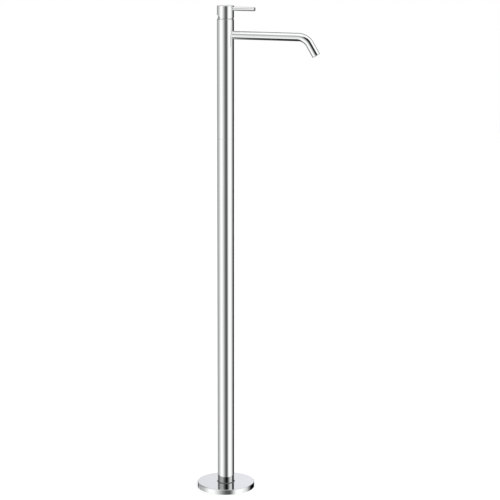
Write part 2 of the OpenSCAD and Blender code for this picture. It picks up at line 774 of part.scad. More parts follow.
module lever_stem() {
    color(brass) difference() {
        union() {
            translate([0, stem_thickness / 2, ball_z]) rotate([90, 0, 0])
                cylinder(r = ball_r, h = stem_thickness);
            translate([-stem_shank_half, -stem_thickness / 2, ball_z])
                cube([2 * stem_shank_half, stem_thickness, stem_arm]);
            translate([-stem_cheek_half, -stem_thickness / 2, pivot_z - stem_cheek_drop])
                cube([2 * stem_cheek_half, stem_thickness, stem_cheek_drop + stem_square_rise]);
            translate([-stem_square / 2, -stem_square / 2, pivot_z + stem_square_rise])
                cube([stem_square, stem_square, stem_top - pivot_z - stem_square_rise]);
        }
        translate([0, stem_square, pivot_z]) rotate([90, 0, 0])
            cylinder(r = tilt_pin_d / 2 + running_gap, h = 2 * stem_square);
    }
}

module handle_cap() {
    color(chrome) difference() {
        rotate_extrude() polygon([
            [0, groove_z + skirt_rise],
            [column_r - groove_chamfer + skirt_rise, groove_z + skirt_rise],
            [column_r, groove_z + groove_chamfer], [column_r, cap_top - cap_chamfer],
            [column_r - cap_chamfer, cap_top], [0, cap_top]]);
        cap_cavity();
        cap_bevel();
        translate([-stem_square / 2 - push_gap / 2, -stem_square / 2 - push_gap / 2, pivot_z])
            cube([stem_square + push_gap, stem_square + push_gap, stem_socket_top - pivot_z]);
        bar_x(lever_r + push_gap / 2, lever_seat_x, column_r, lever_z);
        bar_x(lever_thread_r + push_gap / 2, lever_thread_end - push_gap, column_r, lever_z);
        bar_x(cap_screw_d / 2, -column_r - over, column_r + over, cap_screw_z);
        bar_x(cap_plug_d / 2 + push_gap / 2, -column_r - over,
            cap_plug_thickness + push_gap + over, cap_screw_z);
    }
}

// The hollow of the cap, round the tilt axis so that it clears the dome ring
module cap_cavity() {
    difference() {
        intersection() {
            translate([0, 0, pivot_z]) sphere(r = cavity_r);
            translate([0, 0, pivot_z - over]) cylinder(r = column_r, h = cavity_rise + over);
        }
        translate([0, 0, pivot_z + cap_boss_rise]) cylinder(r = cap_boss_r, h = column_r);
    }
}

// The slope at the back of the cap that lets it tilt
module cap_bevel() {
    translate([0, 0, groove_z + skirt_rise]) rotate([0, tilt_max + bevel_margin, 0])
        translate([-column_d, -column_d, -column_d]) cube([column_d, 2 * column_d, column_d]);
}

module lever_rod() {
    color(chrome) translate([0, 0, lever_z]) rotate([0, 90, 0]) rotate_extrude() polygon([
        [0, lever_thread_end], [lever_thread_r, lever_thread_end],
        [lever_thread_r, lever_seat_x + push_gap], [lever_r, lever_seat_x + push_gap],
        [lever_r, lever_reach - lever_chamfer], [lever_r - lever_chamfer, lever_reach],
        [0, lever_reach]]);
}

module cap_screw() {
    color(steel) difference() {
        bar_x(cap_screw_r, -stem_square / 2 - cap_screw_length, cap_screw_length, cap_screw_z);
        translate([-stem_square / 2 - cap_screw_length - over, 0, cap_screw_z]) rotate([0, 90, 0])
            cylinder(d = cap_screw_d / 2, h = cap_screw_socket_depth + over, $fn = 6);
    }
}

module cap_plug() {
    color(chrome) intersection() {
        bar_x(cap_plug_d / 2, -column_r - over, cap_plug_thickness + over, cap_screw_z);
        translate([0, 0, groove_z]) cylinder(r = column_r, h = cap_height);
    }
}

module spout_nipple() {
    color(brass) difference() {
        union() {
            bar_x(nipple_r, spout_seat_x, nipple_grip, spout_z);
            bar_x(nipple_thread_r, nipple_seat_x + push_gap, nipple_thread_length, spout_z);
        }
        bar_x(nipple_bore_r, 0, spout_seat_x + nipple_grip + over, spout_z);
    }
}

module spout_seal() {
    color(rubber) difference() {
        bar_x(nipple_thread_r + spout_seal_wall, spout_seat_x - spout_seal_width + seal_gap,
            spout_seal_width - seal_gap, spout_z);
        bar_x(nipple_thread_r + seal_gap, 0, column_r, spout_z);
    }
}

module spout_tube() {
    color(chrome) difference() {
        spout_path(spout_r, spout_seat_x, spout_tail);
        spout_path(spout_bore_r, spout_seat_x - over, spout_tail + over);
        at_outlet() translate([0, 0, -over]) cylinder(r = aerator_recess_r, h = aerator_depth + over);
    }
}

module aerator_housing() {
    color(steel) at_outlet() translate([0, 0, aerator_inset]) difference() {
        cylinder(r = aerator_r, h = aerator_length);
        translate([0, 0, -over]) cylinder(r = aerator_bore_r, h = aerator_length - aerator_lip + over);
        cylinder(r = aerator_bore_r - aerator_lip_width, h = aerator_length + over);
    }
}

module aerator_seal() {
    color(rubber) at_outlet()
        ring(aerator_recess_r - seal_gap, aerator_bore_r - aerator_lip_width,
            aerator_depth - aerator_seal_thickness + seal_gap / 2, aerator_seal_thickness - seal_gap);
}

module aerator_insert() {
    insert_z = aerator_inset + grid_inset + grid_thickness;
    insert_height = aerator_length - aerator_lip - grid_inset - grid_thickness;
    color(white_plastic) at_outlet() translate([0, 0, insert_z]) difference() {
        cylinder(r = aerator_insert_r, h = insert_height);
        translate([0, 0, insert_height / 2]) cylinder(r = aerator_insert_r / 2, h = insert_height);
        for (i = [0 : insert_hole_count - 1]) rotate([0, 0, i * 360 / insert_hole_count])
            translate([aerator_insert_r * 0.75, 0, -over])
                cylinder(d = insert_hole_d, h = insert_height + 2 * over);
    }
}

module aerator_grid() {
    color(grey_plastic) at_outlet() translate([0, 0, aerator_inset + grid_inset]) difference() {
        cylinder(r = aerator_insert_r, h = grid_thickness);
        for (q = [-grid_rings : grid_rings], r = [-grid_rings : grid_rings])
            if (abs(q + r) <= grid_rings)
                translate([grid_pitch * (q + r / 2), grid_pitch * r * sin(60), -over])
                    cylinder(d = grid_hole_d, h = grid_thickness + 2 * over);
    }
}

floor_flange();
inlet_block();
cover_plate();
cover_strip();
cover_seal();
column_tube();
column_coupling();
coupling_seals();
coupling_screws();
hot_supply_pipe();
cold_supply_pipe();
lower_pipe_nuts();
upper_pipe_nuts();
lower_pipe_spacer();
upper_pipe_spacer();
body_shell();
valve_core();
dome_ring();
holding_nut();
cartridge_base();
port_seals();
cartridge_housing();
fixed_disc();
moving_disc();
disc_carrier();
cartridge_rotor();
tilt_pin();
lever_stem();
handle_cap();
lever_rod();
cap_screw();
cap_plug();
spout_nipple();
spout_seal();
spout_tube();
aerator_housing();
aerator_seal();
aerator_insert();
aerator_grid();
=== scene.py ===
"""Floor-standing basin mixer tap: turned chrome, finishes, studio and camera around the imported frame."""

from __future__ import annotations

import json
import logging
import math
from abc import ABC, abstractmethod
from collections.abc import Sequence
from dataclasses import dataclass
from enum import Enum

import bpy
from mathutils import Matrix, Vector

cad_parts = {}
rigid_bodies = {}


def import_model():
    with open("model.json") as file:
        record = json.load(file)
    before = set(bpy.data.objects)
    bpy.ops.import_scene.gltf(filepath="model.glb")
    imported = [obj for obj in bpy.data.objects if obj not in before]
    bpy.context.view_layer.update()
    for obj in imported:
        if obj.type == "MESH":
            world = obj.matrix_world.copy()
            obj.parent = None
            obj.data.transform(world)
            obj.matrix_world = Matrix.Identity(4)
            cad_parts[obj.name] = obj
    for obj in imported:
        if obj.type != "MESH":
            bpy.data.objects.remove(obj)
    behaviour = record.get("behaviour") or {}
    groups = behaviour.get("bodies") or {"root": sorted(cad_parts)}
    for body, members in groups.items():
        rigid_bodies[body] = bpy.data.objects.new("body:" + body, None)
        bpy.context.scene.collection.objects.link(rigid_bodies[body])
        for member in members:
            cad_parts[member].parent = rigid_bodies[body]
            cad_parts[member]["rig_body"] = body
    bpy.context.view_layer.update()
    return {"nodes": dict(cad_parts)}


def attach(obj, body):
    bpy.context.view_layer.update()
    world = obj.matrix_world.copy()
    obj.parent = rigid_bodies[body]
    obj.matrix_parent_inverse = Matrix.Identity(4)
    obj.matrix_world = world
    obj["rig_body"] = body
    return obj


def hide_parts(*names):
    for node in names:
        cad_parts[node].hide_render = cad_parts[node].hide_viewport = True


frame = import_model()

MM = 0.001
LOG = logging.getLogger("tap")

Point = tuple[float, float]
Triple = tuple[float, float, float]
Colour = Triple

WHITE = (1.0, 1.0, 1.0)

# Value that a noise texture has in its middle
NOISE_MIDDLE = 0.5

# Sizes that several pieces share, in mm
COLUMN_RADIUS = 19.0
GROOVE_HEIGHT = 1090.0
GROOVE_DEPTH = 1.35
GROOVE_EDGE = 0.12
SPOUT_HEIGHT = 1053.6

# Flat faces round the column and the cap, and round the lever and the cutting bars
SEGMENTS = 192
ROD_SEGMENTS = 96

# How far a cutting bar reaches past the face that it opens, and stays away from the axis, in mm
OVERSHOOT = 1.0


# Turned and bent shapes


@dataclass(frozen=True)
class Corner:
    """Corner of a turned outline, in mm.

    along is the distance along the axis and radius the distance from it. fillet rounds the
    corner. centre makes the stretch that ends here an arc about that point (along, radius).
    """

    along: float
    radius: float
    fillet: float = 0.0
    centre: Point | None = None


@dataclass(frozen=True)
class Stretch:
    """Straight or round stretch of an outline, as points and the outward normals at them."""

    points: tuple[Point, ...]
    normals: tuple[Point, ...]
    centre: Point | None = None


class Path(ABC):
    """Line that an outline is turned about."""

    @abstractmethod
    def at(self, along: float) -> tuple[Vector, Vector, Vector, Vector]:
        """Gives the frame of the line.

        Args:
            along: distance from the line's start, in mm.

        Returns:
            The point, the direction of the line, and two directions across it.
        """


@dataclass(frozen=True)
class StraightPath(Path):
    """Straight line through origin, in mm."""

    origin: Triple = (0.0, 0.0, 0.0)
    direction: Triple = (0.0, 0.0, 1.0)

    def across(self) -> tuple[Vector, Vector, Vector]:
        """Gives the line's direction and two directions across it.

        Returns:
            Three unit vectors at right angles to each other.
        """
        tangent = Vector(self.direction).normalized()
        side = Vector((0.0, 1.0, 0.0))
        return tangent, side.cross(tangent).normalized(), side

    def at(self, along: float) -> tuple[Vector, Vector, Vector, Vector]:
        """Gives the frame of the line.

        Args:
            along: distance from the line's start, in mm.

        Returns:
            The point, the direction of the line, and two directions across it.
        """
        tangent, first, second = self.across()
        return Vector(self.origin) + tangent * along, tangent, first, second

    def local(self, point: Vector) -> tuple[float, float, Vector]:
        """Finds where a point lies beside the line.

        Args:
            point: point in mm.

        Returns:
            Distance along the line, distance from it, and the direction from it.
        """
        tangent = Vector(self.direction).normalized()
        offset = point - Vector(self.origin)
        along = offset.dot(tangent)
        out = offset - tangent * along
        return along, out.length, out.normalized()


@dataclass(frozen=True)
class BentPath(Path):
    """Line along +X at a height, bent down and then straight again, in mm."""

    height: float
    straight: float
    bend_radius: float
    bend_angle: float

    @property
    def bend_length(self) -> float:
        """Length of the bend along the line."""
        return self.bend_radius * math.radians(self.bend_angle)

    def at(self, along: float) -> tuple[Vector, Vector, Vector, Vector]:
        """Gives the frame of the line.

        Args:
            along: distance from the line's start, in mm.

        Returns:
            The point, the direction of the line, and two directions across it.
        """
        bent = min(max(along - self.straight, 0.0), self.bend_length)
        turn = bent / self.bend_radius
        tangent = Vector((math.cos(turn), 0.0, -math.sin(turn)))
        point = Vector((min(along, self.straight), 0.0, self.height))
        point += self.bend_radius * Vector((math.sin(turn), 0.0, math.cos(turn) - 1.0))
        point += tangent * max(along - self.straight - self.bend_length, 0.0)
        side = Vector((0.0, 1.0, 0.0))
        return point, tangent, side.cross(tangent), side


def way(start: Point, end: Point) -> Point:
    """Gives the unit direction from start to end."""
    length = math.dist(start, end)
    return ((end[0] - start[0]) / length, (end[1] - start[1]) / length)


def moved(point: Point, direction: Point, distance: float) -> Point:
    """Gives the point that lies distance from point in a direction."""
    return (point[0] + direction[0] * distance, point[1] + direction[1] * distance)


def arc_points(centre: Point, start: Point, end: Point, steps: int) -> tuple[Point, ...]:
    """Lays points on the shorter arc between two points.

    Args:
        centre: centre of the arc.
        start: first point.
        end: last point.
        steps: number of pieces.

    Returns:
        steps + 1 points.
    """
    radius = math.dist(centre, start)
    first = math.atan2(start[1] - centre[1], start[0] - centre[0])
    last = math.atan2(end[1] - centre[1], end[0] - centre[0])
    sweep = (last - first + math.pi) % (2 * math.pi) - math.pi
    angles = [first + sweep * i / steps for i in range(1, steps)]
    inner = [(centre[0] + radius * math.cos(a), centre[1] + radius * math.sin(a)) for a in angles]
    return (start, *inner, end)


class Outline:
    """Closed outline in the half plane beside an axis, split into its stretches."""

    FILLET_STEPS = 5
    ARC_STEPS = 16
    SHORTEST = 1e-6

    def __init__(self, corners: Sequence[Corner]) -> None:
        """Splits the outline.

        Args:
            corners: its corners in order, either way round.
        """
        area = sum(a.along * b.radius - b.along * a.radius
                   for a, b in zip(corners, [*corners[1:], corners[0]]))
        self.side = 1.0 if area > 0 else -1.0
        self.stretches: list[Stretch] = []
        ends = [self.fillet(corners, i) for i in range(len(corners))]
        for i, corner in enumerate(corners):
            start, end = ends[i - 1][1], ends[i][0]
            if corner.centre is None:
                self.add((start, end), None)
            else:
                self.add(arc_points(corner.centre, start, end, self.ARC_STEPS), corner.centre)
            if corner.fillet > 0.0:
                self.add(arc_points(ends[i][2], *ends[i][:2], self.FILLET_STEPS), ends[i][2])

    @staticmethod
    def fillet(corners: Sequence[Corner], i: int) -> tuple[Point, Point, Point]:
        """Finds the fillet of a corner between straight stretches.

        Args:
            corners: all corners.
            i: the corner's place among them.

        Returns:
            Where the fillet starts, where it ends, and its centre.
        """
        here, before, after = corners[i], corners[i - 1], corners[(i + 1) % len(corners)]
        point = (here.along, here.radius)
        if here.fillet <= 0.0:
            return point, point, point
        back = way(point, (before.along, before.radius))
        on = way(point, (after.along, after.radius))
        half = math.acos(back[0] * on[0] + back[1] * on[1]) / 2
        reach = here.fillet / math.tan(half)
        inward = way((0.0, 0.0), (back[0] + on[0], back[1] + on[1]))
        return (moved(point, back, reach), moved(point, on, reach),
                moved(point, inward, here.fillet / math.sin(half)))

    def add(self, points: tuple[Point, ...], centre: Point | None) -> None:
        """Adds a stretch with its outward normals.

        Args:
            points: the stretch's points.
            centre: centre of a round stretch.
        """
        run = (points[-1][0] - points[0][0], points[-1][1] - points[0][1])
        length = math.hypot(*run)
        if length < self.SHORTEST:
            return
        out = (self.side * run[1] / length, -self.side * run[0] / length)
        if centre is None:
            self.stretches.append(Stretch(points, (out,) * len(points)))
            return
        middle = points[len(points) // 2]
        sign = 1.0 if (middle[0] - centre[0]) * out[0] + (middle[1] - centre[1]) * out[1] > 0 else -1.0
        radius = math.dist(points[0], centre)
        normals = tuple((sign * (a - centre[0]) / radius, sign * (r - centre[1]) / radius)
                        for a, r in points)
        self.stretches.append(Stretch(points, normals, centre))


def section_ring(along: float, radius: float, section: float) -> Outline:
    """Makes the outline of a ring of round section.

    Args:
        along: the section's centre along the axis, in mm.
        radius: the section's distance from the axis, in mm.
        section: radius of the section, in mm.

    Returns:
        The outline.
    """
    centre = (along, radius)
    quarter = [(section, 0.0), (0.0, section), (-section, 0.0), (0.0, -section)]
    return Outline([Corner(along + a, radius + r, centre=centre) for a, r in quarter])


@dataclass
class TurnedSurface:
    """Outline turned about a line, with the true normals of the round surface.

    segments is the number of flat faces round the line. longest_band is the longest band along a
    bent line in mm, or 0 for a straight one.
    """

    TOLERANCE = 0.012
    KEY_DIGITS = 5
    LEAST_LEAN = 0.8

    outline: Outline
    path: Path
    segments: int
    longest_band: float = 0.0

    def mesh(self, name: str) -> bpy.types.Mesh:
        """Makes the mesh.

        Args:
            name: name of the mesh.

        Returns:
            A closed mesh in metres with exact normals.
        """
        vertices: list[Vector] = []
        rings: dict[Point, list[int]] = {}
        faces: list[list[int]] = []
        normals: list[Vector] = []
        angles = [2 * math.pi * i / self.segments for i in range(self.segments)]

        def ring(point: Point) -> list[int]:
            """Gives the vertices of one ring, made when first asked for.

            Args:
                point: the ring's point of the outline.

            Returns:
                A vertex number for each angle.
            """
            key = (round(point[0], self.KEY_DIGITS), round(point[1], self.KEY_DIGITS))
            if key not in rings:
                centre, _, first, second = self.path.at(point[0])
                turns = angles if key[1] > 0.0 else angles[:1]
                made = [centre + point[1] * (first * math.cos(a) + second * math.sin(a)) for a in turns]
                rings[key] = list(range(len(vertices), len(vertices) + len(made)))
                vertices.extend(v * MM for v in made)
            found = rings[key]
            return found if len(found) > 1 else found * self.segments

        def normal(point: Point, slope: Point, angle: float) -> Vector:
            """Gives the round surface's normal.

            Args:
                point: point of the outline.
                slope: the outline's normal there.
                angle: turn about the line.

            Returns:
                The unit normal.
            """
            _, tangent, first, second = self.path.at(point[0])
            out = first * math.cos(angle) + second * math.sin(angle)
            return (tangent * slope[0] + out * slope[1]).normalized()

        for points, slopes in self.bands():
            one, two = ring(points[0]), ring(points[1])
            for j in range(self.segments):
                k = (j + 1) % self.segments
                corners = [(one[j], 0, j), (one[k], 0, k), (two[k], 1, k), (two[j], 1, j)]
                if one[j] == one[k]:
                    corners.pop(1)
                if two[j] == two[k]:
                    corners.pop(-2)
                if len(corners) < 3:
                    continue
                bends = [normal(points[end], slopes[end], angles[turn]) for _, end, turn in corners]
                flat = (vertices[corners[1][0]] - vertices[corners[0][0]]).cross(
                    vertices[corners[2][0]] - vertices[corners[0][0]])
                if flat.dot(sum(bends, Vector())) < 0:
                    corners.reverse()
                    bends.reverse()
                faces.append([c[0] for c in corners])
                normals.extend(bends)
        mesh = bpy.data.meshes.new(name)
        mesh.from_pydata(vertices, [], faces)
        mesh.polygons.foreach_set("use_smooth", [True] * len(faces))
        mesh.normals_split_custom_set(normals)
        return mesh

    def bands(self) -> list[tuple[tuple[Point, Point], tuple[Point, Point]]]:
        """Lists the bands between neighbouring rings.

        Returns:
            For each band its two outline points and their normals.
        """
        found = []
        for stretch in self.outline.stretches:
            for i in range(len(stretch.points) - 1):
                a, b = stretch.points[i], stretch.points[i + 1]
                m, n = stretch.normals[i], stretch.normals[i + 1]
                parts = math.ceil(abs(b[0] - a[0]) / self.longest_band) if self.longest_band else 1
                parts = max(1, parts)
                for p in range(parts):
                    s, t = p / parts, (p + 1) / parts
                    ends = tuple((a[0] + (b[0] - a[0]) * x, a[1] + (b[1] - a[1]) * x) for x in (s, t))
                    found.append((ends, (m, n)))
        return found

    def normal_near(self, points: Sequence[Vector], facing: Vector) -> list[Vector] | None:
        """Finds the true normals of a flat face that lies on this surface.

        Args:
            points: the face's corners in mm.
            facing: the face's own normal.

        Returns:
            A normal for each corner, or None if the face isn't on this surface.
        """
        if not isinstance(self.path, StraightPath):
            return None
        tangent = Vector(self.path.direction).normalized()
        places = [self.path.local(p) for p in points]
        for stretch in self.outline.stretches:
            slopes = [self.slope(stretch, (along, radius)) for along, radius, _ in places]
            if None in slopes:
                continue
            found = [(tangent * s[0] + out * s[1]).normalized() for s, (_, _, out) in zip(slopes, places)]
            lean = sum(found, Vector()).normalized().dot(facing)
            if abs(lean) > self.LEAST_LEAN:
                return found if lean > 0 else [-v for v in found]
        return None

    def slope(self, stretch: Stretch, point: Point) -> Point | None:
        """Finds a stretch's normal beside a point on it.

        Args:
            stretch: stretch of the outline.
            point: the point, along and beside the axis.

        Returns:
            The normal in the outline's plane, or None away from the stretch.
        """
        slack = 2 * self.TOLERANCE
        for axis in (0, 1):
            ends = [p[axis] for p in stretch.points]
            if not min(ends) - slack <= point[axis] <= max(ends) + slack:
                return None
        if stretch.centre is not None:
            centre = stretch.centre
            radius = math.dist(stretch.points[0], centre)
            gap = math.dist(point, centre)
            if abs(gap - radius) > self.TOLERANCE or gap == 0.0:
                return None
            return ((point[0] - centre[0]) / gap, (point[1] - centre[1]) / gap)
        start, out = stretch.points[0], stretch.normals[0]
        gap = (point[0] - start[0]) * out[0] + (point[1] - start[1]) * out[1]
        return out if abs(gap) <= self.TOLERANCE else None


def round_cut(height: float, start: float, *steps: Point) -> TurnedSurface:
    """Makes a round cutting bar along +X, thick or thin in steps.

    Args:
        height: height of its axis, in mm.
        start: where it starts, in mm.
        steps: where each step ends and its radius, in mm.

    Returns:
        The bar.
    """
    corners = [Corner(start, 0.0)]
    for end, radius in steps:
        corners += [Corner(corners[-1].along, radius), Corner(end, radius)]
    corners.append(Corner(corners[-1].along, 0.0))
    path = StraightPath((0.0, 0.0, height), (1.0, 0.0, 0.0))
    return TurnedSurface(Outline(corners), path, ROD_SEGMENTS)


def block(low: Sequence[float], high: Sequence[float], turn: Matrix | None = None) -> bpy.types.Mesh:
    """Makes a cutting block.

    Args:
        low: lowest corner in mm, before it is turned.
        high: highest corner in mm, before it is turned.
        turn: matrix that places it, in mm.

    Returns:
        The block's mesh in metres.
    """
    corners = [Vector((x, y, z)) for x in (low[0], high[0]) for y in (low[1], high[1])
               for z in (low[2], high[2])]
    placed = [(turn @ c if turn else c) * MM for c in corners]
    sides = [(0, 1, 3, 2), (4, 6, 7, 5), (0, 4, 5, 1), (2, 3, 7, 6), (0, 2, 6, 4), (1, 5, 7, 3)]
    mesh = bpy.data.meshes.new("cutting_block")
    mesh.from_pydata(placed, [], sides)
    return mesh


# Pieces of the scene


def add_piece(name: str, mesh: bpy.types.Mesh, node: str, finish: Finish) -> str:
    """Puts a fine piece in the place of a CAD node, riding on the node's body.

    Args:
        name: name of the piece.
        mesh: its mesh, in the frame.
        node: CAD node that it stands for.
        finish: its finish.

    Returns:
        The piece's name.
    """
    piece = bpy.data.objects.new(name, mesh)
    bpy.context.scene.collection.objects.link(piece)
    mesh.materials.append(finish.material())
    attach(piece, frame["nodes"][node]["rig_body"])
    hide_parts(node)
    return piece.name


def cut_mesh(name: str, shape: TurnedSurface, bars: Sequence[TurnedSurface],
             blocks: Sequence[bpy.types.Mesh] = ()) -> bpy.types.Mesh:
    """Cuts bores and flats into a turned shape and gives its faces their true normals again.

    Args:
        name: name of the mesh.
        shape: the turned shape.
        bars: round bores.
        blocks: flat-sided cuts.

    Returns:
        The cut mesh.
    """
    scene = bpy.context.scene
    body = bpy.data.objects.new(name, shape.mesh(name))
    cutters = [bpy.data.objects.new("cutter", b.mesh("cutter")) for b in bars]
    cutters += [bpy.data.objects.new("cutter", b) for b in blocks]
    for item in [body, *cutters]:
        scene.collection.objects.link(item)
    for cutter in cutters:
        modifier = body.modifiers.new("cut", "BOOLEAN")
        modifier.operation = "DIFFERENCE"
        modifier.solver = "EXACT"
        modifier.object = cutter
    bpy.context.view_layer.update()
    mesh = bpy.data.meshes.new_from_object(body.evaluated_get(bpy.context.evaluated_depsgraph_get()))
    for item in [body, *cutters]:
        bpy.data.objects.remove(item)
    mesh.name = name
    mesh.materials.clear()
    normals: list[Vector] = []
    for face in mesh.polygons:
        points = [mesh.vertices[v].co / MM for v in face.vertices]
        found = next((n for s in [shape, *bars] if (n := s.normal_near(points, face.normal))), None)
        normals.extend(found or [face.normal.copy()] * len(points))
    mesh.polygons.foreach_set("use_smooth", [True] * len(mesh.polygons))
    mesh.normals_split_custom_set(normals)
    return mesh


def dress(node: str, finish: Finish) -> str:
    """Gives a CAD node its finish.

    Args:
        node: the CAD node.
        finish: its finish.

    Returns:
        The node's name.
    """
    data = frame["nodes"][node].data
    data.materials.clear()
    data.materials.append(finish.material())
    data.polygons.foreach_set("material_index", [0] * len(data.polygons))
    return node


def dress_all(finishes: dict[str, Finish]) -> list[str]:
    """Gives several CAD nodes their finishes.

    Args:
        finishes: the finish of each node.

    Returns:
        The nodes' names.
    """
    return [dress(node, finish) for node, finish in finishes.items()]


# Shader groups


class Nodes:
    """Short way to add and link nodes in one tree, laid out in rows."""

    STEP = (220, -260)
    ROW = 8

    # Sockets of the mix node: its factor and two colours, and the mixed colour
    MIX_IN = (0, 6, 7)
    MIX_OUT = 2

    def __init__(self, tree: bpy.types.NodeTree) -> None:
        """Keeps the tree.

        Args:
            tree: the node tree to build in.
        """
        self.tree = tree
        self.count = 0

    def add(self, kind: str, inputs: dict[str | int, object] | None = None,
            **settings: object) -> bpy.types.Node:
        """Adds a node.

        Args:
            kind: the node's type.
            inputs: values or output sockets for its input sockets.
            settings: the node's own settings.

        Returns:
            The node.
        """
        node = self.tree.nodes.new(kind)
        row, place_in_row = divmod(self.count, self.ROW)
        node.location = (self.STEP[0] * place_in_row, self.STEP[1] * row)
        self.count += 1
        for key, value in settings.items():
            setattr(node, key, value)
        for key, value in (inputs or {}).items():
            socket = node.inputs[key]
            if isinstance(value, bpy.types.NodeSocket):
                self.tree.links.new(value, socket)
            else:
                socket.default_value = value
        return node

    def math(self, operation: str, *values: object) -> bpy.types.NodeSocket:
        """Adds a math node.

        Args:
            operation: its operation.
            values: its inputs in order.

        Returns:
            Its output.
        """
        return self.add("ShaderNodeMath", dict(enumerate(values)), operation=operation).outputs[0]

    def total(self, base: object, *terms: tuple[object, object]) -> object:
        """Adds terms to a base.

        Args:
            base: the base.
            terms: a value and its weight each.

        Returns:
            The sum.
        """
        for value, weight in terms:
            base = self.math("MULTIPLY_ADD", value, weight, base)
        return base

    def product(self, first: object, *others: object) -> object:
        """Multiplies values.

        Args:
            first: the first value.
            others: the other values.

        Returns:
            The product.
        """
        for value in others:
            first = self.math("MULTIPLY", first, value)
        return first

    def ease(self, value: object, low: object, high: object,
             start: float = 0.0, end: float = 1.0) -> bpy.types.NodeSocket:
        """Adds a smooth step from start at low to end at high.

        Args:
            value: what is stepped.
            low: where the step starts.
            high: where it ends.
            start: result below low.
            end: result above high.

        Returns:
            The result.
        """
        node = self.add("ShaderNodeMapRange", {0: value, 1: low, 2: high, 3: start, 4: end},
                        interpolation_type="SMOOTHSTEP")
        return node.outputs[0]

    def noise(self, vector: object, scale: object, detail: float = 3.0,
              rough: float = 0.5) -> bpy.types.NodeSocket:
        """Adds a noise texture.

        Args:
            vector: where it is read.
            scale: its scale.
            detail: its detail.
            rough: its roughness.

        Returns:
            Its value.
        """
        node = self.add("ShaderNodeTexNoise", {"Vector": vector, "Scale": scale, "Detail": detail,
                                               "Roughness": rough})
        return node.outputs["Fac"]

    def mix(self, factor: object, one: object, two: object) -> bpy.types.NodeSocket:
        """Adds a colour mix.

        Args:
            factor: share of the second colour.
            one: first colour.
            two: second colour.

        Returns:
            The mixed colour.
        """
        inputs = dict(zip(self.MIX_IN, (factor, one, two)))
        return self.add("ShaderNodeMix", inputs, data_type="RGBA").outputs[self.MIX_OUT]

    def bump(self, height: object, strength: float, depth: float) -> bpy.types.NodeSocket:
        """Adds a bump.

        Args:
            height: height of the relief, about 0 to 1.
            strength: share of the bump that is used.
            depth: height of a full step, in metres.

        Returns:
            The bumped normal.
        """
        inputs = {"Strength": strength, "Distance": depth, "Height": height}
        return self.add("ShaderNodeBump", inputs).outputs[0]


class Effect(Enum):
    """Surface effects that several finishes share, each one shader group."""

    HAIRLINES = "polishing_hairlines"
    DRIED_DROPS = "dried_drops"
    SLOW_DRIFT = "slow_drift"
    TURNED_GRAIN = "turned_grain"
    MOULDED_SKIN = "moulded_skin"
    SOFT_PANEL = "soft_panel"

    @property
    def group(self) -> bpy.types.NodeTree:
        """Finds the effect's shader group, or builds it.

        Returns:
            The group.
        """
        found = bpy.data.node_groups.get(self.value)
        return found if found else GROUP_BUILDERS[self](self.value)


def new_group(name: str, inputs: dict[str, float], outputs: Sequence[str]) -> Nodes:
    """Starts a shader group with named sockets.

    Args:
        name: the group's name.
        inputs: its number inputs and their defaults.
        outputs: its number outputs.

    Returns:
        The nodes to build it with.
    """
    tree = bpy.data.node_groups.new(name, "ShaderNodeTree")
    for label, value in inputs.items():
        socket = tree.interface.new_socket(name=label, in_out="INPUT", socket_type="NodeSocketFloat")
        socket.default_value = value
    for label in outputs:
        tree.interface.new_socket(name=label, in_out="OUTPUT", socket_type="NodeSocketFloat")
    return Nodes(tree)


def place(n: Nodes, stretch: Triple = (1.0, 1.0, 1.0),
          turn: Triple = (0.0, 0.0, 0.0)) -> bpy.types.NodeSocket:
    """Gives the object's own coordinates, stretched and turned.

    Args:
        n: the nodes.
        stretch: scale along each axis.
        turn: turn about each axis, in radians.

    Returns:
        The vector's socket.
    """
    source = n.add("ShaderNodeTexCoord").outputs["Object"]
    return n.add("ShaderNodeMapping", {"Vector": source, "Scale": stretch, "Rotation": turn}).outputs[0]


def build_hairlines(name: str) -> bpy.types.NodeTree:
    """Builds the faint scratches that polishing leaves.

    Args:
        name: name of the group.

    Returns:
        The group, with Scale in lines per metre and Share as inputs, and Lines and Height as outputs.
    """
    layers = [((0.3, 0.2, 0.4), (1.0, 0.03, 1.0)), ((1.1, 0.7, 2.0), (0.04, 1.0, 1.0)),
              ((2.2, 1.4, 0.9), (1.0, 1.0, 0.025))]
    half_width = 0.012
    patch_scale = 60.0
    patch_start, patch_end = 0.42, 0.66
    n = new_group(name, {"Scale": 900.0, "Share": 0.5}, ["Lines", "Height"])
    given = n.add("NodeGroupInput")
    strongest: object = 0.0
    for turn, stretch in layers:
        fine = n.noise(place(n, stretch, turn), given.outputs["Scale"], detail=2.0, rough=0.4)
        near = n.math("ABSOLUTE", n.math("SUBTRACT", fine, NOISE_MIDDLE))
        line = n.ease(near, 0.0, half_width, start=1.0, end=0.0)
        strongest = n.math("MAXIMUM", strongest, line)
    patches = n.ease(n.noise(place(n), patch_scale, detail=2.0), patch_start, patch_end)
    lines = n.product(strongest, patches, given.outputs["Share"])
    n.add("NodeGroupOutput", {"Lines": lines, "Height": n.product(lines, -1.0)})
    return n.tree


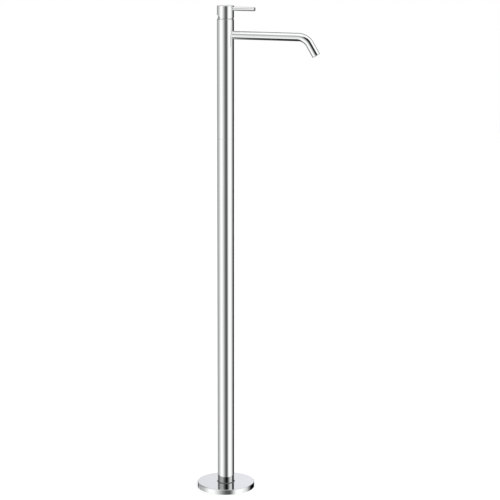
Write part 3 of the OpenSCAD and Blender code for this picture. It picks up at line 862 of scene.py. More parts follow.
def build_dried_drops(name: str) -> bpy.types.NodeTree:
    """Builds the faint rims that dried water drops leave.

    Args:
        name: name of the group.

    Returns:
        The group, with Scale and Share as inputs and Film as output.
    """
    least_size, size_spread = 0.08, 0.22
    rim_start, rim_top, rim_end = 0.55, 0.95, 1.08
    haze_start, haze_end, haze_share = 0.9, 1.05, 0.3
    n = new_group(name, {"Scale": 130.0, "Share": 0.5}, ["Film"])
    given = n.add("NodeGroupInput")
    cells = n.add("ShaderNodeTexVoronoi", {"Vector": place(n), "Scale": given.outputs["Scale"]})
    pick = n.add("ShaderNodeSeparateColor", {0: cells.outputs["Color"]})
    size = n.total(least_size, (pick.outputs[1], size_spread))
    inside = n.math("DIVIDE", cells.outputs["Distance"], size)
    rim = n.product(n.ease(inside, rim_start, rim_top),
                    n.ease(inside, rim_top, rim_end, start=1.0, end=0.0))
    haze = n.product(n.ease(inside, haze_start, haze_end, start=1.0, end=0.0), haze_share)
    chosen = n.math("LESS_THAN", pick.outputs[0], given.outputs["Share"])
    n.add("NodeGroupOutput", {"Film": n.product(n.math("ADD", rim, haze), chosen)})
    return n.tree


def build_slow_drift(name: str) -> bpy.types.NodeTree:
    """Builds a slow change over the surface.

    Args:
        name: name of the group.

    Returns:
        The group, with Scale as input and Drift, from 0 to 1, as output.
    """
    darkest, lightest = 0.3, 0.7
    n = new_group(name, {"Scale": 12.0}, ["Drift"])
    slow = n.noise(place(n), n.add("NodeGroupInput").outputs["Scale"], detail=4.0)
    n.add("NodeGroupOutput", {"Drift": n.ease(slow, darkest, lightest)})
    return n.tree


def build_turned_grain(name: str) -> bpy.types.NodeTree:
    """Builds the rings that a lathe leaves round the column's axis.

    Args:
        name: name of the group.

    Returns:
        The group, with Pitch in rings per metre, and Tone and Height as outputs.
    """
    contrast = 0.8
    patch_scale, patch_share, least_tone = 90.0, 0.4, 0.3
    patch_stretch = (1.0, 1.0, 6.0)
    n = new_group(name, {"Pitch": 2500.0}, ["Tone", "Height"])
    given = n.add("NodeGroupInput")
    axes = n.add("ShaderNodeSeparateXYZ", {0: n.add("ShaderNodeTexCoord").outputs["Object"]})
    radius = n.math("SQRT", n.math("ADD", n.math("POWER", axes.outputs[0], 2.0),
                                   n.math("POWER", axes.outputs[1], 2.0)))
    reach = n.add("ShaderNodeCombineXYZ", {0: radius, 1: axes.outputs[2], 2: 0.0}).outputs[0]
    fine = n.noise(reach, given.outputs["Pitch"], detail=2.0, rough=0.6)
    around = n.noise(place(n, patch_stretch), patch_scale, detail=2.0)
    rings = n.math("SUBTRACT", fine, NOISE_MIDDLE)
    tone = n.total(least_tone, (around, patch_share), (rings, contrast))
    n.add("NodeGroupOutput", {"Tone": tone, "Height": fine})
    return n.tree


def build_moulded_skin(name: str) -> bpy.types.NodeTree:
    """Builds the fine skin of moulded and pressed parts.

    Args:
        name: name of the group.

    Returns:
        The group, with Scale in grains per metre, and Tone and Height as outputs.
    """
    grain_share, flow_share, flow_scale = 0.4, 0.6, 70.0
    flow_stretch = (1.0, 1.0, 0.4)
    n = new_group(name, {"Scale": 3000.0}, ["Tone", "Height"])
    given = n.add("NodeGroupInput")
    grains = n.noise(place(n), given.outputs["Scale"], rough=0.6)
    flow = n.noise(place(n, flow_stretch), flow_scale)
    tone = n.total(0.0, (flow, flow_share), (grains, grain_share))
    n.add("NodeGroupOutput", {"Tone": tone, "Height": grains})
    return n.tree


def build_soft_panel(name: str) -> bpy.types.NodeTree:
    """Builds the mask of one soft-edged panel of the studio.

    Args:
        name: name of the group.

    Returns:
        The group, with the direction and the panel's sides as inputs and Mask as output.
    """
    sides = ["Azimuth", "Elevation", "Middle", "Half Width", "Left Soft", "Right Soft",
             "Low", "High", "Low Soft", "High Soft"]
    n = new_group(name, dict.fromkeys(sides, 0.0), ["Mask"])
    g = n.add("NodeGroupInput").outputs
    turn = n.math("WRAP", n.math("SUBTRACT", g["Azimuth"], g["Middle"]), 180.0, -180.0)
    masks = []
    for value, edge, soft in [
            (n.product(turn, -1.0), g["Half Width"], g["Left Soft"]),
            (turn, g["Half Width"], g["Right Soft"]),
            (n.product(g["Elevation"], -1.0), n.product(g["Low"], -1.0), g["Low Soft"]),
            (g["Elevation"], g["High"], g["High Soft"])]:
        half = n.product(soft, 0.5)
        inner, outer = n.math("SUBTRACT", edge, half), n.math("ADD", edge, half)
        masks.append(n.ease(value, inner, outer, start=1.0, end=0.0))
    n.add("NodeGroupOutput", {"Mask": n.product(*masks)})
    return n.tree


GROUP_BUILDERS = {
    Effect.HAIRLINES: build_hairlines,
    Effect.DRIED_DROPS: build_dried_drops,
    Effect.SLOW_DRIFT: build_slow_drift,
    Effect.TURNED_GRAIN: build_turned_grain,
    Effect.MOULDED_SKIN: build_moulded_skin,
    Effect.SOFT_PANEL: build_soft_panel,
}


# Finishes


@dataclass(frozen=True)
class Finish(ABC):
    """Finish of one kind of piece: slot names the record's material slot, but it is not used."""

    name: str
    slot: str
    colour: Colour
    shade: Colour

    def material(self) -> bpy.types.Material:
        """Gives the finish's material, built once.

        Returns:
            The material.
        """
        found = bpy.data.materials.get(self.name)
        if found:
            return found
        made = bpy.data.materials.new(self.name)
        made.use_nodes = True
        made.node_tree.nodes.clear()
        n = Nodes(made.node_tree)
        shader = n.add("ShaderNodeBsdfPrincipled")
        self.wire(n, shader)
        n.add("ShaderNodeOutputMaterial", {"Surface": shader.outputs[0]})
        return made

    @abstractmethod
    def wire(self, n: Nodes, shader: bpy.types.Node) -> None:
        """Sets the shader's sockets.

        Args:
            n: the material's nodes.
            shader: its Principled BSDF.
        """

    def effect(self, n: Nodes, effect: Effect, **inputs: float) -> bpy.types.Node:
        """Places a shared effect with this finish's own values.

        Args:
            n: the material's nodes.
            effect: which effect.
            inputs: the group's inputs.

        Returns:
            The group's node.
        """
        node = n.add("ShaderNodeGroup", node_tree=effect.group)
        for key, value in inputs.items():
            node.inputs[key].default_value = value
        return node

    def connect(self, n: Nodes, shader: bpy.types.Node, tone: object, rough: object, normal: object) -> None:
        """Wires colour, roughness and normal to the shader.

        Args:
            n: the material's nodes.
            shader: its Principled BSDF.
            tone: share of the second colour.
            rough: the roughness.
            normal: the bumped normal.
        """
        colour = n.mix(tone, (*self.colour, 1.0), (*self.shade, 1.0))
        for socket, value in (("Base Color", colour), ("Roughness", rough), ("Normal", normal)):
            n.tree.links.new(value, shader.inputs[socket])


@dataclass(frozen=True)
class PolishedMetal(Finish):
    """Mirror-like plated metal with the faint marks of polishing and water."""

    rough: float = 0.035
    line_scale: float = 700.0
    line_share: float = 0.5
    line_rough: float = 0.08
    line_height: float = 0.4
    drop_scale: float = 120.0
    drop_share: float = 0.12
    drop_tone: float = 0.12
    drop_rough: float = 0.05
    drift_scale: float = 9.0
    drift_tone: float = 0.25
    drift_rough: float = 0.012
    bump: float = 0.25
    depth: float = 0.00001

    def wire(self, n: Nodes, shader: bpy.types.Node) -> None:
        """Sets the shader's sockets.

        Args:
            n: the material's nodes.
            shader: its Principled BSDF.
        """
        lines = self.effect(n, Effect.HAIRLINES, Scale=self.line_scale, Share=self.line_share).outputs
        film = self.effect(n, Effect.DRIED_DROPS, Scale=self.drop_scale, Share=self.drop_share).outputs[0]
        drift = self.effect(n, Effect.SLOW_DRIFT, Scale=self.drift_scale).outputs[0]
        tone = n.total(0.0, (drift, self.drift_tone), (film, self.drop_tone))
        rough = n.total(self.rough, (drift, self.drift_rough), (film, self.drop_rough),
                        (lines["Lines"], self.line_rough))
        height = n.math("MULTIPLY", lines["Height"], self.line_height)
        self.connect(n, shader, tone, rough, n.bump(height, self.bump, self.depth))
        shader.inputs["Metallic"].default_value = 1.0


@dataclass(frozen=True)
class MachinedMetal(Finish):
    """Turned or drawn metal with the lathe's rings and a slow change of tone."""

    rough: float = 0.3
    pitch: float = 2500.0
    ring_tone: float = 0.3
    ring_rough: float = 0.12
    ring_height: float = 0.5
    tarnish: float = 0.5
    drift_scale: float = 45.0
    drift_rough: float = 0.08
    line_scale: float = 1400.0
    line_share: float = 0.8
    bump: float = 0.4
    depth: float = 0.00004

    def wire(self, n: Nodes, shader: bpy.types.Node) -> None:
        """Sets the shader's sockets.

        Args:
            n: the material's nodes.
            shader: its Principled BSDF.
        """
        grain = self.effect(n, Effect.TURNED_GRAIN, Pitch=self.pitch).outputs
        drift = self.effect(n, Effect.SLOW_DRIFT, Scale=self.drift_scale).outputs[0]
        lines = self.effect(n, Effect.HAIRLINES, Scale=self.line_scale, Share=self.line_share).outputs
        tone = n.total(0.0, (grain["Tone"], self.ring_tone), (drift, self.tarnish))
        rough = n.total(self.rough, (grain["Tone"], self.ring_rough), (drift, self.drift_rough))
        height = n.total(lines["Height"], (grain["Height"], self.ring_height))
        self.connect(n, shader, tone, rough, n.bump(height, self.bump, self.depth))
        shader.inputs["Metallic"].default_value = 1.0


@dataclass(frozen=True)
class MouldedSurface(Finish):
    """Plastic, rubber or ceramic with the skin of its mould."""

    rough: float = 0.45
    grain: float = 3000.0
    grain_tone: float = 0.6
    grain_rough: float = 0.18
    grain_height: float = 0.5
    drift_scale: float = 60.0
    drift_tone: float = 0.4
    gloss_coat: float = 0.0
    bump: float = 0.5
    depth: float = 0.00006

    def wire(self, n: Nodes, shader: bpy.types.Node) -> None:
        """Sets the shader's sockets.

        Args:
            n: the material's nodes.
            shader: its Principled BSDF.
        """
        skin = self.effect(n, Effect.MOULDED_SKIN, Scale=self.grain).outputs
        drift = self.effect(n, Effect.SLOW_DRIFT, Scale=self.drift_scale).outputs[0]
        tone = n.total(0.0, (skin["Tone"], self.grain_tone), (drift, self.drift_tone))
        rough = n.total(self.rough, (skin["Tone"], self.grain_rough))
        height = n.math("MULTIPLY", skin["Height"], self.grain_height)
        self.connect(n, shader, tone, rough, n.bump(height, self.bump, self.depth))
        shader.inputs["Coat Weight"].default_value = self.gloss_coat


CHROME = PolishedMetal("polished_chrome", "chrome", (0.632, 0.64, 0.637), (0.565, 0.572, 0.57))
STEEL = MachinedMetal("turned_steel", "steel", (0.58, 0.585, 0.6), (0.42, 0.425, 0.44), rough=0.24,
                      pitch=3000.0)
BRASS = MachinedMetal("turned_brass", "brass", (0.72, 0.53, 0.22), (0.5, 0.33, 0.11), rough=0.26,
                      pitch=2200.0)
COPPER = MachinedMetal("drawn_copper", "copper", (0.76, 0.42, 0.27), (0.48, 0.22, 0.13), rough=0.22,
                       pitch=900.0, tarnish=0.7)
RUBBER = MouldedSurface("black_rubber", "rubber", (0.016, 0.016, 0.018), (0.032, 0.032, 0.035),
                        rough=0.62, grain=4200.0, grain_height=0.9)
GREY_RUBBER = MouldedSurface("grey_rubber", "rubber", (0.1, 0.1, 0.105), (0.14, 0.14, 0.146),
                             rough=0.5, grain=4200.0, grain_height=0.5)
GREY_PLASTIC = MouldedSurface("grey_plastic", "housing_plastic", (0.075, 0.085, 0.1),
                              (0.11, 0.12, 0.14), rough=0.38)
WHITE_PLASTIC = MouldedSurface("white_plastic", "white_plastic", (0.72, 0.72, 0.69),
                               (0.62, 0.61, 0.57), rough=0.36)
CERAMIC = MouldedSurface("ceramic", "ceramic", (0.83, 0.8, 0.7), (0.76, 0.72, 0.61), rough=0.12,
                         grain=5200.0, grain_height=0.15, gloss_coat=0.4)


# Sub-assemblies


class SubAssembly(ABC):
    """Group of pieces that belong together on the real tap."""

    @abstractmethod
    def build(self) -> list[str]:
        """Makes and dresses the group's pieces.

        Returns:
            The names of the pieces and CAD nodes that it dressed.
        """


@dataclass
class FloorFoot(SubAssembly):
    """Floor flange, hose block and the round cover plate over them, in mm."""

    cover_radius: float = 66.0
    cover_height: float = 11.6
    cover_wall: float = 1.5
    foot_round: float = 0.25
    rim_round: float = 1.3
    inner_round: float = 0.5
    cover_segments: int = 320
    hole_radius: float = 19.3
    collar_radius: float = 21.8
    collar_height: float = 2.0
    seat_radius: float = 20.7
    seat_depth: float = 0.65
    seat_round: float = 0.15
    seal_radius: float = 19.85
    seal_section: float = 0.8
    seal_height: float = 11.8
    seal_segments: int = 160

    def cover(self) -> bpy.types.Mesh:
        """Makes the cover plate, its outline drawn from the foot round the rim to the hole.

        Returns:
            The mesh, in metres.
        """
        inside = self.cover_height - self.cover_wall
        outline = Outline([
            Corner(0.0, self.cover_radius - self.cover_wall),
            Corner(0.0, self.cover_radius, self.foot_round),
            Corner(self.cover_height, self.cover_radius, self.rim_round),
            Corner(self.cover_height, self.seat_radius, self.seat_round),
            Corner(self.cover_height - self.seat_depth, self.seat_radius),
            Corner(self.cover_height - self.seat_depth, self.hole_radius),
            Corner(inside - self.collar_height, self.hole_radius),
            Corner(inside - self.collar_height, self.collar_radius),
            Corner(inside, self.collar_radius),
            Corner(inside, self.cover_radius - self.cover_wall, self.inner_round),
        ])
        return TurnedSurface(outline, StraightPath(), self.cover_segments).mesh("cover_plate_turned")

    def seal(self) -> bpy.types.Mesh:
        """Makes the ring round the column's foot.

        Returns:
            The mesh, in metres.
        """
        outline = section_ring(self.seal_height, self.seal_radius, self.seal_section)
        return TurnedSurface(outline, StraightPath(), self.seal_segments).mesh("foot_ring")

    def build(self) -> list[str]:
        """Makes and dresses these pieces.

        Returns:
            The names of the pieces and CAD nodes that it dressed.
        """
        return [
            add_piece("cover_plate_turned", self.cover(), "cover_plate", CHROME),
            add_piece("foot_ring", self.seal(), "cover_seal", GREY_RUBBER),
            *dress_all({"cover_strip": RUBBER, "floor_flange": STEEL, "inlet_block": BRASS}),
        ]


@dataclass
class ChromedTube(SubAssembly):
    """Chromed tube of the column's diameter that meets its neighbour at the seam, in mm."""

    radius: float = COLUMN_RADIUS
    wall: float = 1.5
    seam: float = 821.0
    seam_round: float = 0.3
    screw_radius: float = 2.0
    screw_offset: float = 26.0

    @property
    def bore(self) -> float:
        """Radius of the tube's bore."""
        return self.radius - self.wall

    def screw_hole(self, height: float) -> TurnedSurface:
        """Makes the cutter for the screw hole in the tube's back.

        Args:
            height: height of the hole, in mm.

        Returns:
            The cutter.
        """
        return round_cut(height, -self.radius - OVERSHOOT, (-OVERSHOOT, self.screw_radius))


@dataclass
class Column(ChromedTube):
    """Column tube with its joining sleeve, supply pipes and nuts, in mm."""

    foot: float = 10.8

    def tube(self) -> bpy.types.Mesh:
        """Makes the column's tube with its screw hole.

        Returns:
            The mesh, in metres.
        """
        outline = Outline([
            Corner(self.foot, self.bore), Corner(self.foot, self.radius),
            Corner(self.seam, self.radius, self.seam_round), Corner(self.seam, self.bore)])
        hole = self.screw_hole(self.seam - self.screw_offset)
        return cut_mesh("column_turned", TurnedSurface(outline, StraightPath(), SEGMENTS), [hole])

    def build(self) -> list[str]:
        """Makes and dresses these pieces.

        Returns:
            The names of the pieces and CAD nodes that it dressed.
        """
        return [
            add_piece("column_turned", self.tube(), "column_tube", CHROME),
            *dress_all({
                "column_coupling": BRASS, "coupling_seals": RUBBER, "coupling_screws": STEEL,
                "hot_supply_pipe": COPPER, "cold_supply_pipe": COPPER, "lower_pipe_nuts": BRASS,
                "upper_pipe_nuts": BRASS, "lower_pipe_spacer": WHITE_PLASTIC,
                "upper_pipe_spacer": WHITE_PLASTIC,
            }),
        ]


@dataclass
class MixerBody(ChromedTube):
    """Chromed shell over the brass valve core, and the dome ring under the cap, in mm."""

    top: float = GROOVE_HEIGHT
    groove: float = GROOVE_DEPTH
    groove_tip: float = 0.05
    spout_height: float = SPOUT_HEIGHT
    spout_hole: float = 9.3
    core_top: float = 1089.4
    dome_radius: float = 17.3
    dome_bore: float = 15.3
    dome_rise: float = 6.0
    lip_height: float = 1094.2
    lip_radius: float = 12.2
    lip_round: float = 0.2

    def shell(self) -> bpy.types.Mesh:
        """Makes the shell with its spout hole and screw hole.

        Returns:
            The mesh, in metres.
        """
        outline = Outline([
            Corner(self.seam, self.bore), Corner(self.seam, self.radius, self.seam_round),
            Corner(self.top - self.groove, self.radius, GROOVE_EDGE),
            Corner(self.top, self.radius - self.groove, self.groove_tip), Corner(self.top, self.bore)])
        holes = [
            round_cut(self.spout_height, OVERSHOOT, (self.radius + OVERSHOOT, self.spout_hole)),
            self.screw_hole(self.seam + self.screw_offset),
        ]
        return cut_mesh("body_turned", TurnedSurface(outline, StraightPath(), SEGMENTS), holes)

    def dome(self) -> bpy.types.Mesh:
        """Makes the dome ring.

        Returns:
            The mesh, in metres.
        """
        top = self.top + self.dome_rise
        rim = math.sqrt(self.dome_radius**2 - self.dome_rise**2)
        outline = Outline([
            Corner(self.core_top, self.dome_bore), Corner(self.core_top, self.dome_radius),
            Corner(self.top, self.dome_radius), Corner(top, rim, centre=(self.top, 0.0)),
            Corner(top, self.lip_radius, self.lip_round), Corner(self.lip_height, self.lip_radius),
            Corner(self.lip_height, self.dome_bore)])
        return TurnedSurface(outline, StraightPath(), SEGMENTS).mesh("dome_turned")

    def build(self) -> list[str]:
        """Makes and dresses these pieces.

        Returns:
            The names of the pieces and CAD nodes that it dressed.
        """
        return [
            add_piece("body_turned", self.shell(), "body_shell", CHROME),
            add_piece("dome_turned", self.dome(), "dome_ring", CHROME),
            *dress_all({"valve_core": BRASS, "holding_nut": BRASS}),
        ]


class Cartridge(SubAssembly):
    """Ceramic cartridge that mixes and shuts the water."""

    def build(self) -> list[str]:
        """Makes and dresses these pieces.

        Returns:
            The names of the pieces and CAD nodes that it dressed.
        """
        return dress_all({
            "cartridge_base": GREY_PLASTIC, "port_seals": RUBBER, "cartridge_housing": GREY_PLASTIC,
            "fixed_disc": CERAMIC, "moving_disc": CERAMIC, "disc_carrier": WHITE_PLASTIC,
            "cartridge_rotor": WHITE_PLASTIC, "tilt_pin": STEEL,
        })


@dataclass
class Handle(SubAssembly):
    """Cap that turns and tilts, with its lever rod, in mm."""

    radius: float = COLUMN_RADIUS
    groove: float = GROOVE_HEIGHT
    groove_slope: float = GROOVE_DEPTH
    skirt_rise: float = 0.3
    top: float = 1118.8
    top_round: float = 0.4
    cavity_radius: float = 17.7
    cavity_rise: float = 12.8
    boss_radius: float = 7.5
    boss_rise: float = 8.0
    bevel_angle: float = 26.5
    socket_half: float = 4.05
    socket_top: float = 1108.7
    lever_height: float = 1112.1
    lever_radius: float = 4.35
    lever_thread: float = 3.0
    lever_seat: float = 14.2
    lever_thread_end: float = 7.0
    lever_reach: float = 68.8
    lever_round: float = 0.2
    seat_round: float = 0.1
    screw_height: float = 1105.0
    screw_radius: float = 2.5
    plug_radius: float = 3.05
    plug_depth: float = 2.5
    gap: float = 0.05
    seat_gap: float = 0.1

    def cap(self) -> bpy.types.Mesh:
        """Makes the cap with its cavity, back slope, sockets and bores.

        Returns:
            The mesh, in metres.
        """
        skirt = self.groove + self.skirt_rise
        ceiling = self.groove + self.cavity_rise
        edge = math.sqrt(self.cavity_radius**2 - self.skirt_rise**2)
        corner = math.sqrt(self.cavity_radius**2 - self.cavity_rise**2)
        outline = Outline([
            Corner(skirt, self.radius - self.groove_slope + self.skirt_rise),
            Corner(self.groove + self.groove_slope, self.radius, GROOVE_EDGE),
            Corner(self.top, self.radius, self.top_round), Corner(self.top, 0.0),
            Corner(self.groove + self.boss_rise, 0.0),
            Corner(self.groove + self.boss_rise, self.boss_radius),
            Corner(ceiling, self.boss_radius), Corner(ceiling, corner),
            Corner(skirt, edge, centre=(self.groove, 0.0)),
        ])
        outside = self.radius + OVERSHOOT
        bores = [
            round_cut(self.lever_height, self.lever_thread_end - self.seat_gap,
                      (self.lever_seat, self.lever_thread + self.gap),
                      (outside, self.lever_radius + self.gap)),
            round_cut(self.screw_height, -outside, (self.plug_depth - self.radius, self.plug_radius),
                      (-OVERSHOOT, self.screw_radius)),
        ]
        slope = Matrix.Translation((0.0, 0.0, skirt)) @ Matrix.Rotation(
            math.radians(self.bevel_angle), 4, "Y")
        reach = 2 * self.radius
        cuts = [
            block((-reach, -reach, -reach), (0.0, reach, 0.0), slope),
            block((-self.socket_half, -self.socket_half, self.groove),
                  (self.socket_half, self.socket_half, self.socket_top)),
        ]
        return cut_mesh("cap_turned", TurnedSurface(outline, StraightPath(), SEGMENTS), bores, cuts)

    def lever(self) -> bpy.types.Mesh:
        """Makes the lever rod with its thread and rounded tip.

        Returns:
            The mesh, in metres.
        """
        seat = self.lever_seat + self.seat_gap
        outline = Outline([
            Corner(self.lever_thread_end, 0.0),
            Corner(self.lever_thread_end, self.lever_thread, self.lever_round),
            Corner(seat, self.lever_thread), Corner(seat, self.lever_radius, self.seat_round),
            Corner(self.lever_reach, self.lever_radius, self.lever_round), Corner(self.lever_reach, 0.0)])
        path = StraightPath((0.0, 0.0, self.lever_height), (1.0, 0.0, 0.0))
        return TurnedSurface(outline, path, ROD_SEGMENTS).mesh("lever_turned")

    def build(self) -> list[str]:
        """Makes and dresses these pieces.

        Returns:
            The names of the pieces and CAD nodes that it dressed.
        """
        return [
            add_piece("cap_turned", self.cap(), "handle_cap", CHROME),
            add_piece("lever_turned", self.lever(), "lever_rod", CHROME),
            *dress_all({"cap_plug": CHROME, "cap_screw": STEEL, "lever_stem": BRASS}),
        ]


@dataclass
class Spout(SubAssembly):
    """Bent spout tube with the aerator in its end, in mm."""

    radius: float = 9.25
    bore: float = 7.25
    height: float = SPOUT_HEIGHT
    seat: float = 14.4
    straight: float = 169.9
    bend_radius: float = 30.8
    bend_angle: float = 59.0
    tail: float = 29.0
    recess_radius: float = 7.75
    recess_depth: float = 13.0
    recess_round: float = 0.1
    end_round: float = 0.25
    segments: int = 128
    longest_band: float = 1.0

    def tube(self) -> bpy.types.Mesh:
        """Makes the bent tube with the recess for the aerator.

        Returns:
            The mesh, in metres.
        """
        path = BentPath(self.height, self.straight, self.bend_radius, self.bend_angle)
        end = self.straight + path.bend_length + self.tail
        step = end - self.recess_depth
        outline = Outline([
            Corner(self.seat, self.bore), Corner(self.seat, self.radius),
            Corner(end, self.radius, self.end_round), Corner(end, self.recess_radius, self.recess_round),
            Corner(step, self.recess_radius), Corner(step, self.bore)])
        return TurnedSurface(outline, path, self.segments, self.longest_band).mesh("spout_bent")

    def build(self) -> list[str]:
        """Makes and dresses these pieces.

        Returns:
            The names of the pieces and CAD nodes that it dressed.
        """
        return [
            add_piece("spout_bent", self.tube(), "spout_tube", CHROME),
            *dress_all({
                "spout_nipple": BRASS, "spout_seal": RUBBER, "aerator_housing": STEEL,
                "aerator_seal": RUBBER, "aerator_insert": WHITE_PLASTIC, "aerator_grid": GREY_PLASTIC,
            }),
        ]


# Studio


@dataclass(frozen=True)
class LightPanel:
    """Soft-edged panel of the studio, in degrees as the tap sees it.

    Azimuth 0 is towards the camera and grows to the camera's right; elevation 0 is level. level is
    the panel's light. Each soft edge is as wide as its soft value says and lies half inside the panel.
    """

    left: float
    right: float
    low: float
    high: float
    level: float
    soft_left: float = 20.0
    soft_right: float = 20.0
    soft_low: float = 12.0
    soft_high: float = 12.0
    tint: Colour = WHITE


GREENISH = (0.98, 1.0, 0.97)
LAVENDER = (0.952, 0.952, 1.0)

# A panel covers the ones before it. Heights of -91 and 91 reach past straight down and straight up
PANELS = [
    # dark gap in front, and the grey wall behind that the column's left edge mirrors
    LightPanel(-60, 60, -91, 44, 0.15, 40, 40, 1, 10, GREENISH),
    LightPanel(188, 236, -91, 6, 0.64, 6, 30, 1, 8, LAVENDER),
    LightPanel(188, 212, -91, 6, 0.06, 6, 14, 1, 8, LAVENDER),
    LightPanel(216, 277, -91, -12, 0.64, 14, 10, 1, 10, LAVENDER),
    LightPanel(242, 275, -91, 6, 0.77, 16, 10, 1, 8),
    # softboxes left and right of the camera, the left one brighter low down
    LightPanel(-87, -27.5, -53, 12, 1.62, 42, 66, 12, 8),
    LightPanel(-87, -43, -53, -24, 1.62, 42, 40, 12, 10),
    LightPanel(30.4, 90, -53, 8, 1.62, 32, 60, 12, 8),
    # upper parts of the softboxes
    LightPanel(-90, -34, 13, 29, 0.85, 40, 44, 8, 12),
    LightPanel(-100, -20, 26, 48, 0.8, 30, 24, 12, 8),
    LightPanel(46, 94, 8, 24, 1.4, 44, 20, 8, 8),
    LightPanel(36, 150, 24, 48, 1.55, 20, 20, 8, 8),
    # dark openings: over the camera, behind on the right, and high behind the tap
    LightPanel(-8, 25, 7, 24, 0.012, 22, 18, 8, 8),
    LightPanel(98, 165, 8, 22, 0.08, 10, 10, 8, 6),
    LightPanel(128, 176, 16, 44, 0.05, 10, 8, 8, 10),
    LightPanel(168, 262, 24, 56, 0.04, 10, 16, 6, 8),
    # upper part of the wall behind the tap, which the cover plate mirrors
    LightPanel(192, 262, 4, 24, 0.32, 8, 20, 6, 6, LAVENDER),
    LightPanel(166, 194, 0, 22, 1.07, 8, 8, 3, 3, LAVENDER),
    LightPanel(160, 180, 0, 22, 1.27, 4, 6, 3, 3, LAVENDER),
    LightPanel(166, 194, 0, 10, 1.44, 8, 8, 3, 6, LAVENDER),
    # light over the tap, and the dark gap in its middle
    LightPanel(-120, 120, 46, 91, 1.75, 20, 20, 12, 1),
    LightPanel(120, 240, 51, 91, 1.1, 20, 20, 12, 1),
    LightPanel(-200, 200, 74, 91, 1.4, 1, 1, 12, 1),
    LightPanel(-14, 38, 24, 56, 0.02, 10, 10, 8, 8),
    # pale floor in front and on the right, dark floor behind that the spout's underside mirrors
    LightPanel(-30, 175, -91, -50, 0.85, 30, 20, 1, 12),
    LightPanel(172, 326, -91, -53, 0.0, 16, 12, 1, 12),
    LightPanel(-200, 200, -91, -76, 0.0, 1, 1, 1, 10),
    # black flags that give the column's right edge and the spout's lower edge
    LightPanel(110, 190, -50, 4, 0.0, 32, 10, 12, 5),
    LightPanel(186, 226, -91, -22, 0.0, 6, 16, 1, 8),
]


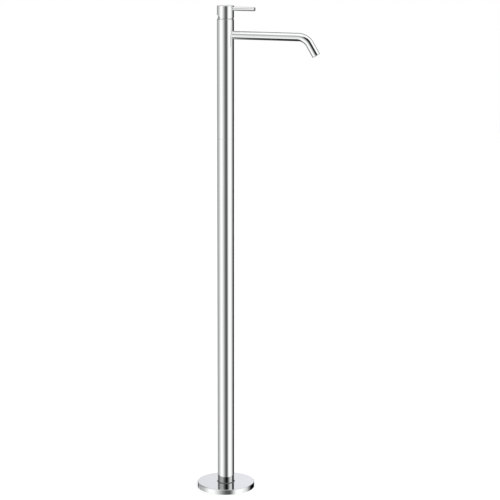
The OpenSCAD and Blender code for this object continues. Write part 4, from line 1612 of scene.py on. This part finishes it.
@dataclass
class Studio:
    """Camera, floor and soft light, placed as the photograph shows the tap."""

    camera_place: Triple = (1.380, -3.9855, 1.4309)
    camera_yaw: float = 18.8
    camera_pitch: float = -11.62
    lens: float = 135.8
    sensor: float = 36.0
    shift: float = 0.0293
    clip_end: float = 60.0
    azimuth: float = 19.1
    wall: Colour = (0.65, 0.65, 0.68)
    floor_size: float = 12.0
    floor_glow: float = 0.67
    floor_colour: Colour = (0.37, 0.37, 0.371)
    floor_shade: Colour = (0.36, 0.36, 0.361)
    floor_patches: float = 3.0
    floor_patch_low: float = 0.3
    floor_patch_high: float = 0.7
    floor_rough: float = 0.8
    floor_shine: float = 0.2
    top_light_power: float = 10.0
    top_light_size: float = 4.0
    top_light_place: Triple = (0.0, -0.4, 3.2)

    def build(self) -> list[str]:
        """Builds the studio.

        Returns:
            What was placed.
        """
        return [self.build_camera(), self.build_floor(), self.build_light(), self.build_world()]

    def build_camera(self) -> str:
        """Places the camera.

        Returns:
            Its name.
        """
        data = bpy.data.cameras.new("camera")
        data.sensor_width = self.sensor
        data.lens = self.lens
        data.shift_x = self.shift
        data.clip_end = self.clip_end
        camera = bpy.data.objects.new("camera", data)
        yaw, pitch = math.radians(self.camera_yaw), math.radians(self.camera_pitch)
        look = Vector((-math.sin(yaw) * math.cos(pitch), math.cos(yaw) * math.cos(pitch), math.sin(pitch)))
        camera.location = self.camera_place
        camera.rotation_mode = "QUATERNION"
        camera.rotation_quaternion = look.to_track_quat("-Z", "Y")
        bpy.context.scene.collection.objects.link(camera)
        bpy.context.scene.camera = camera
        bpy.context.scene.view_settings.view_transform = "Standard"
        return camera.name

    def build_floor(self) -> str:
        """Places the pale floor, a white table lit softly from below.

        Returns:
            Its name.
        """
        half = self.floor_size / 2
        mesh = bpy.data.meshes.new("studio_floor")
        mesh.from_pydata([(-half, -half, 0), (half, -half, 0), (half, half, 0), (-half, half, 0)], [],
                         [(0, 1, 2, 3)])
        floor = bpy.data.objects.new("studio_floor", mesh)
        bpy.context.scene.collection.objects.link(floor)
        material = bpy.data.materials.new("studio_floor")
        material.use_nodes = True
        material.node_tree.nodes.clear()
        n = Nodes(material.node_tree)
        patches = n.noise(place(n), self.floor_patches)
        tone = n.ease(patches, self.floor_patch_low, self.floor_patch_high)
        colour = n.mix(tone, (*self.floor_colour, 1.0), (*self.floor_shade, 1.0))
        shader = n.add("ShaderNodeBsdfPrincipled", {
            "Base Color": colour, "Roughness": self.floor_rough,
            "Specular IOR Level": self.floor_shine,
            "Emission Color": (*WHITE, 1.0), "Emission Strength": self.floor_glow})
        n.add("ShaderNodeOutputMaterial", {"Surface": shader.outputs[0]})
        mesh.materials.append(material)
        floor.visible_glossy = False
        return floor.name

    def build_light(self) -> str:
        """Places the large soft light overhead.

        Returns:
            Its name.
        """
        data = bpy.data.lights.new("top_light", "AREA")
        data.shape = "RECTANGLE"
        data.size = self.top_light_size
        data.size_y = self.top_light_size
        data.energy = self.top_light_power
        light = bpy.data.objects.new("top_light", data)
        light.location = self.top_light_place
        light.visible_glossy = False
        light.visible_camera = False
        bpy.context.scene.collection.objects.link(light)
        return light.name

    def build_world(self) -> str:
        """Builds the world of soft panels that the chrome mirrors.

        Returns:
            Its name.
        """
        world = bpy.data.worlds.new("studio_walls")
        bpy.context.scene.world = world
        world.use_nodes = True
        world.node_tree.nodes.clear()
        n = Nodes(world.node_tree)
        seen_from = n.add("ShaderNodeTexCoord").outputs["Generated"]
        x, y, z = n.add("ShaderNodeSeparateXYZ", {0: seen_from}).outputs
        turn = n.math("ARCTAN2", x, n.math("MULTIPLY", y, -1.0))
        azimuth = n.math("SUBTRACT", n.math("DEGREES", turn), self.azimuth)
        elevation = n.math("DEGREES", n.math("ARCSINE", z))
        colour: object = (*self.wall, 1.0)
        for p in PANELS:
            mask = n.add("ShaderNodeGroup", node_tree=Effect.SOFT_PANEL.group)
            n.tree.links.new(azimuth, mask.inputs["Azimuth"])
            n.tree.links.new(elevation, mask.inputs["Elevation"])
            sides = {"Middle": (p.left + p.right) / 2, "Half Width": (p.right - p.left) / 2,
                     "Left Soft": p.soft_left, "Right Soft": p.soft_right, "Low": p.low,
                     "High": p.high, "Low Soft": p.soft_low, "High Soft": p.soft_high}
            for key, value in sides.items():
                mask.inputs[key].default_value = value
            colour = n.mix(mask.outputs[0], colour, (*(p.level * t for t in p.tint), 1.0))
        seen = n.add("ShaderNodeLightPath").outputs["Is Camera Ray"]
        colour = n.mix(seen, colour, (*WHITE, 1.0))
        light = n.add("ShaderNodeBackground", {"Color": colour, "Strength": 1.0})
        n.add("ShaderNodeOutputWorld", {"Surface": light.outputs[0]})
        return world.name


def main() -> None:
    """Builds the studio and the tap, and reports each piece."""
    logging.basicConfig(level=logging.INFO, format="%(name)s: %(message)s")
    LOG.info("studio: %s", ", ".join(Studio().build()))
    for part in (FloorFoot(), Column(), MixerBody(), Cartridge(), Handle(), Spout()):
        for name in part.build():
            LOG.info("%s: %s", type(part).__name__, name)


if __name__ == "__main__":
    main()
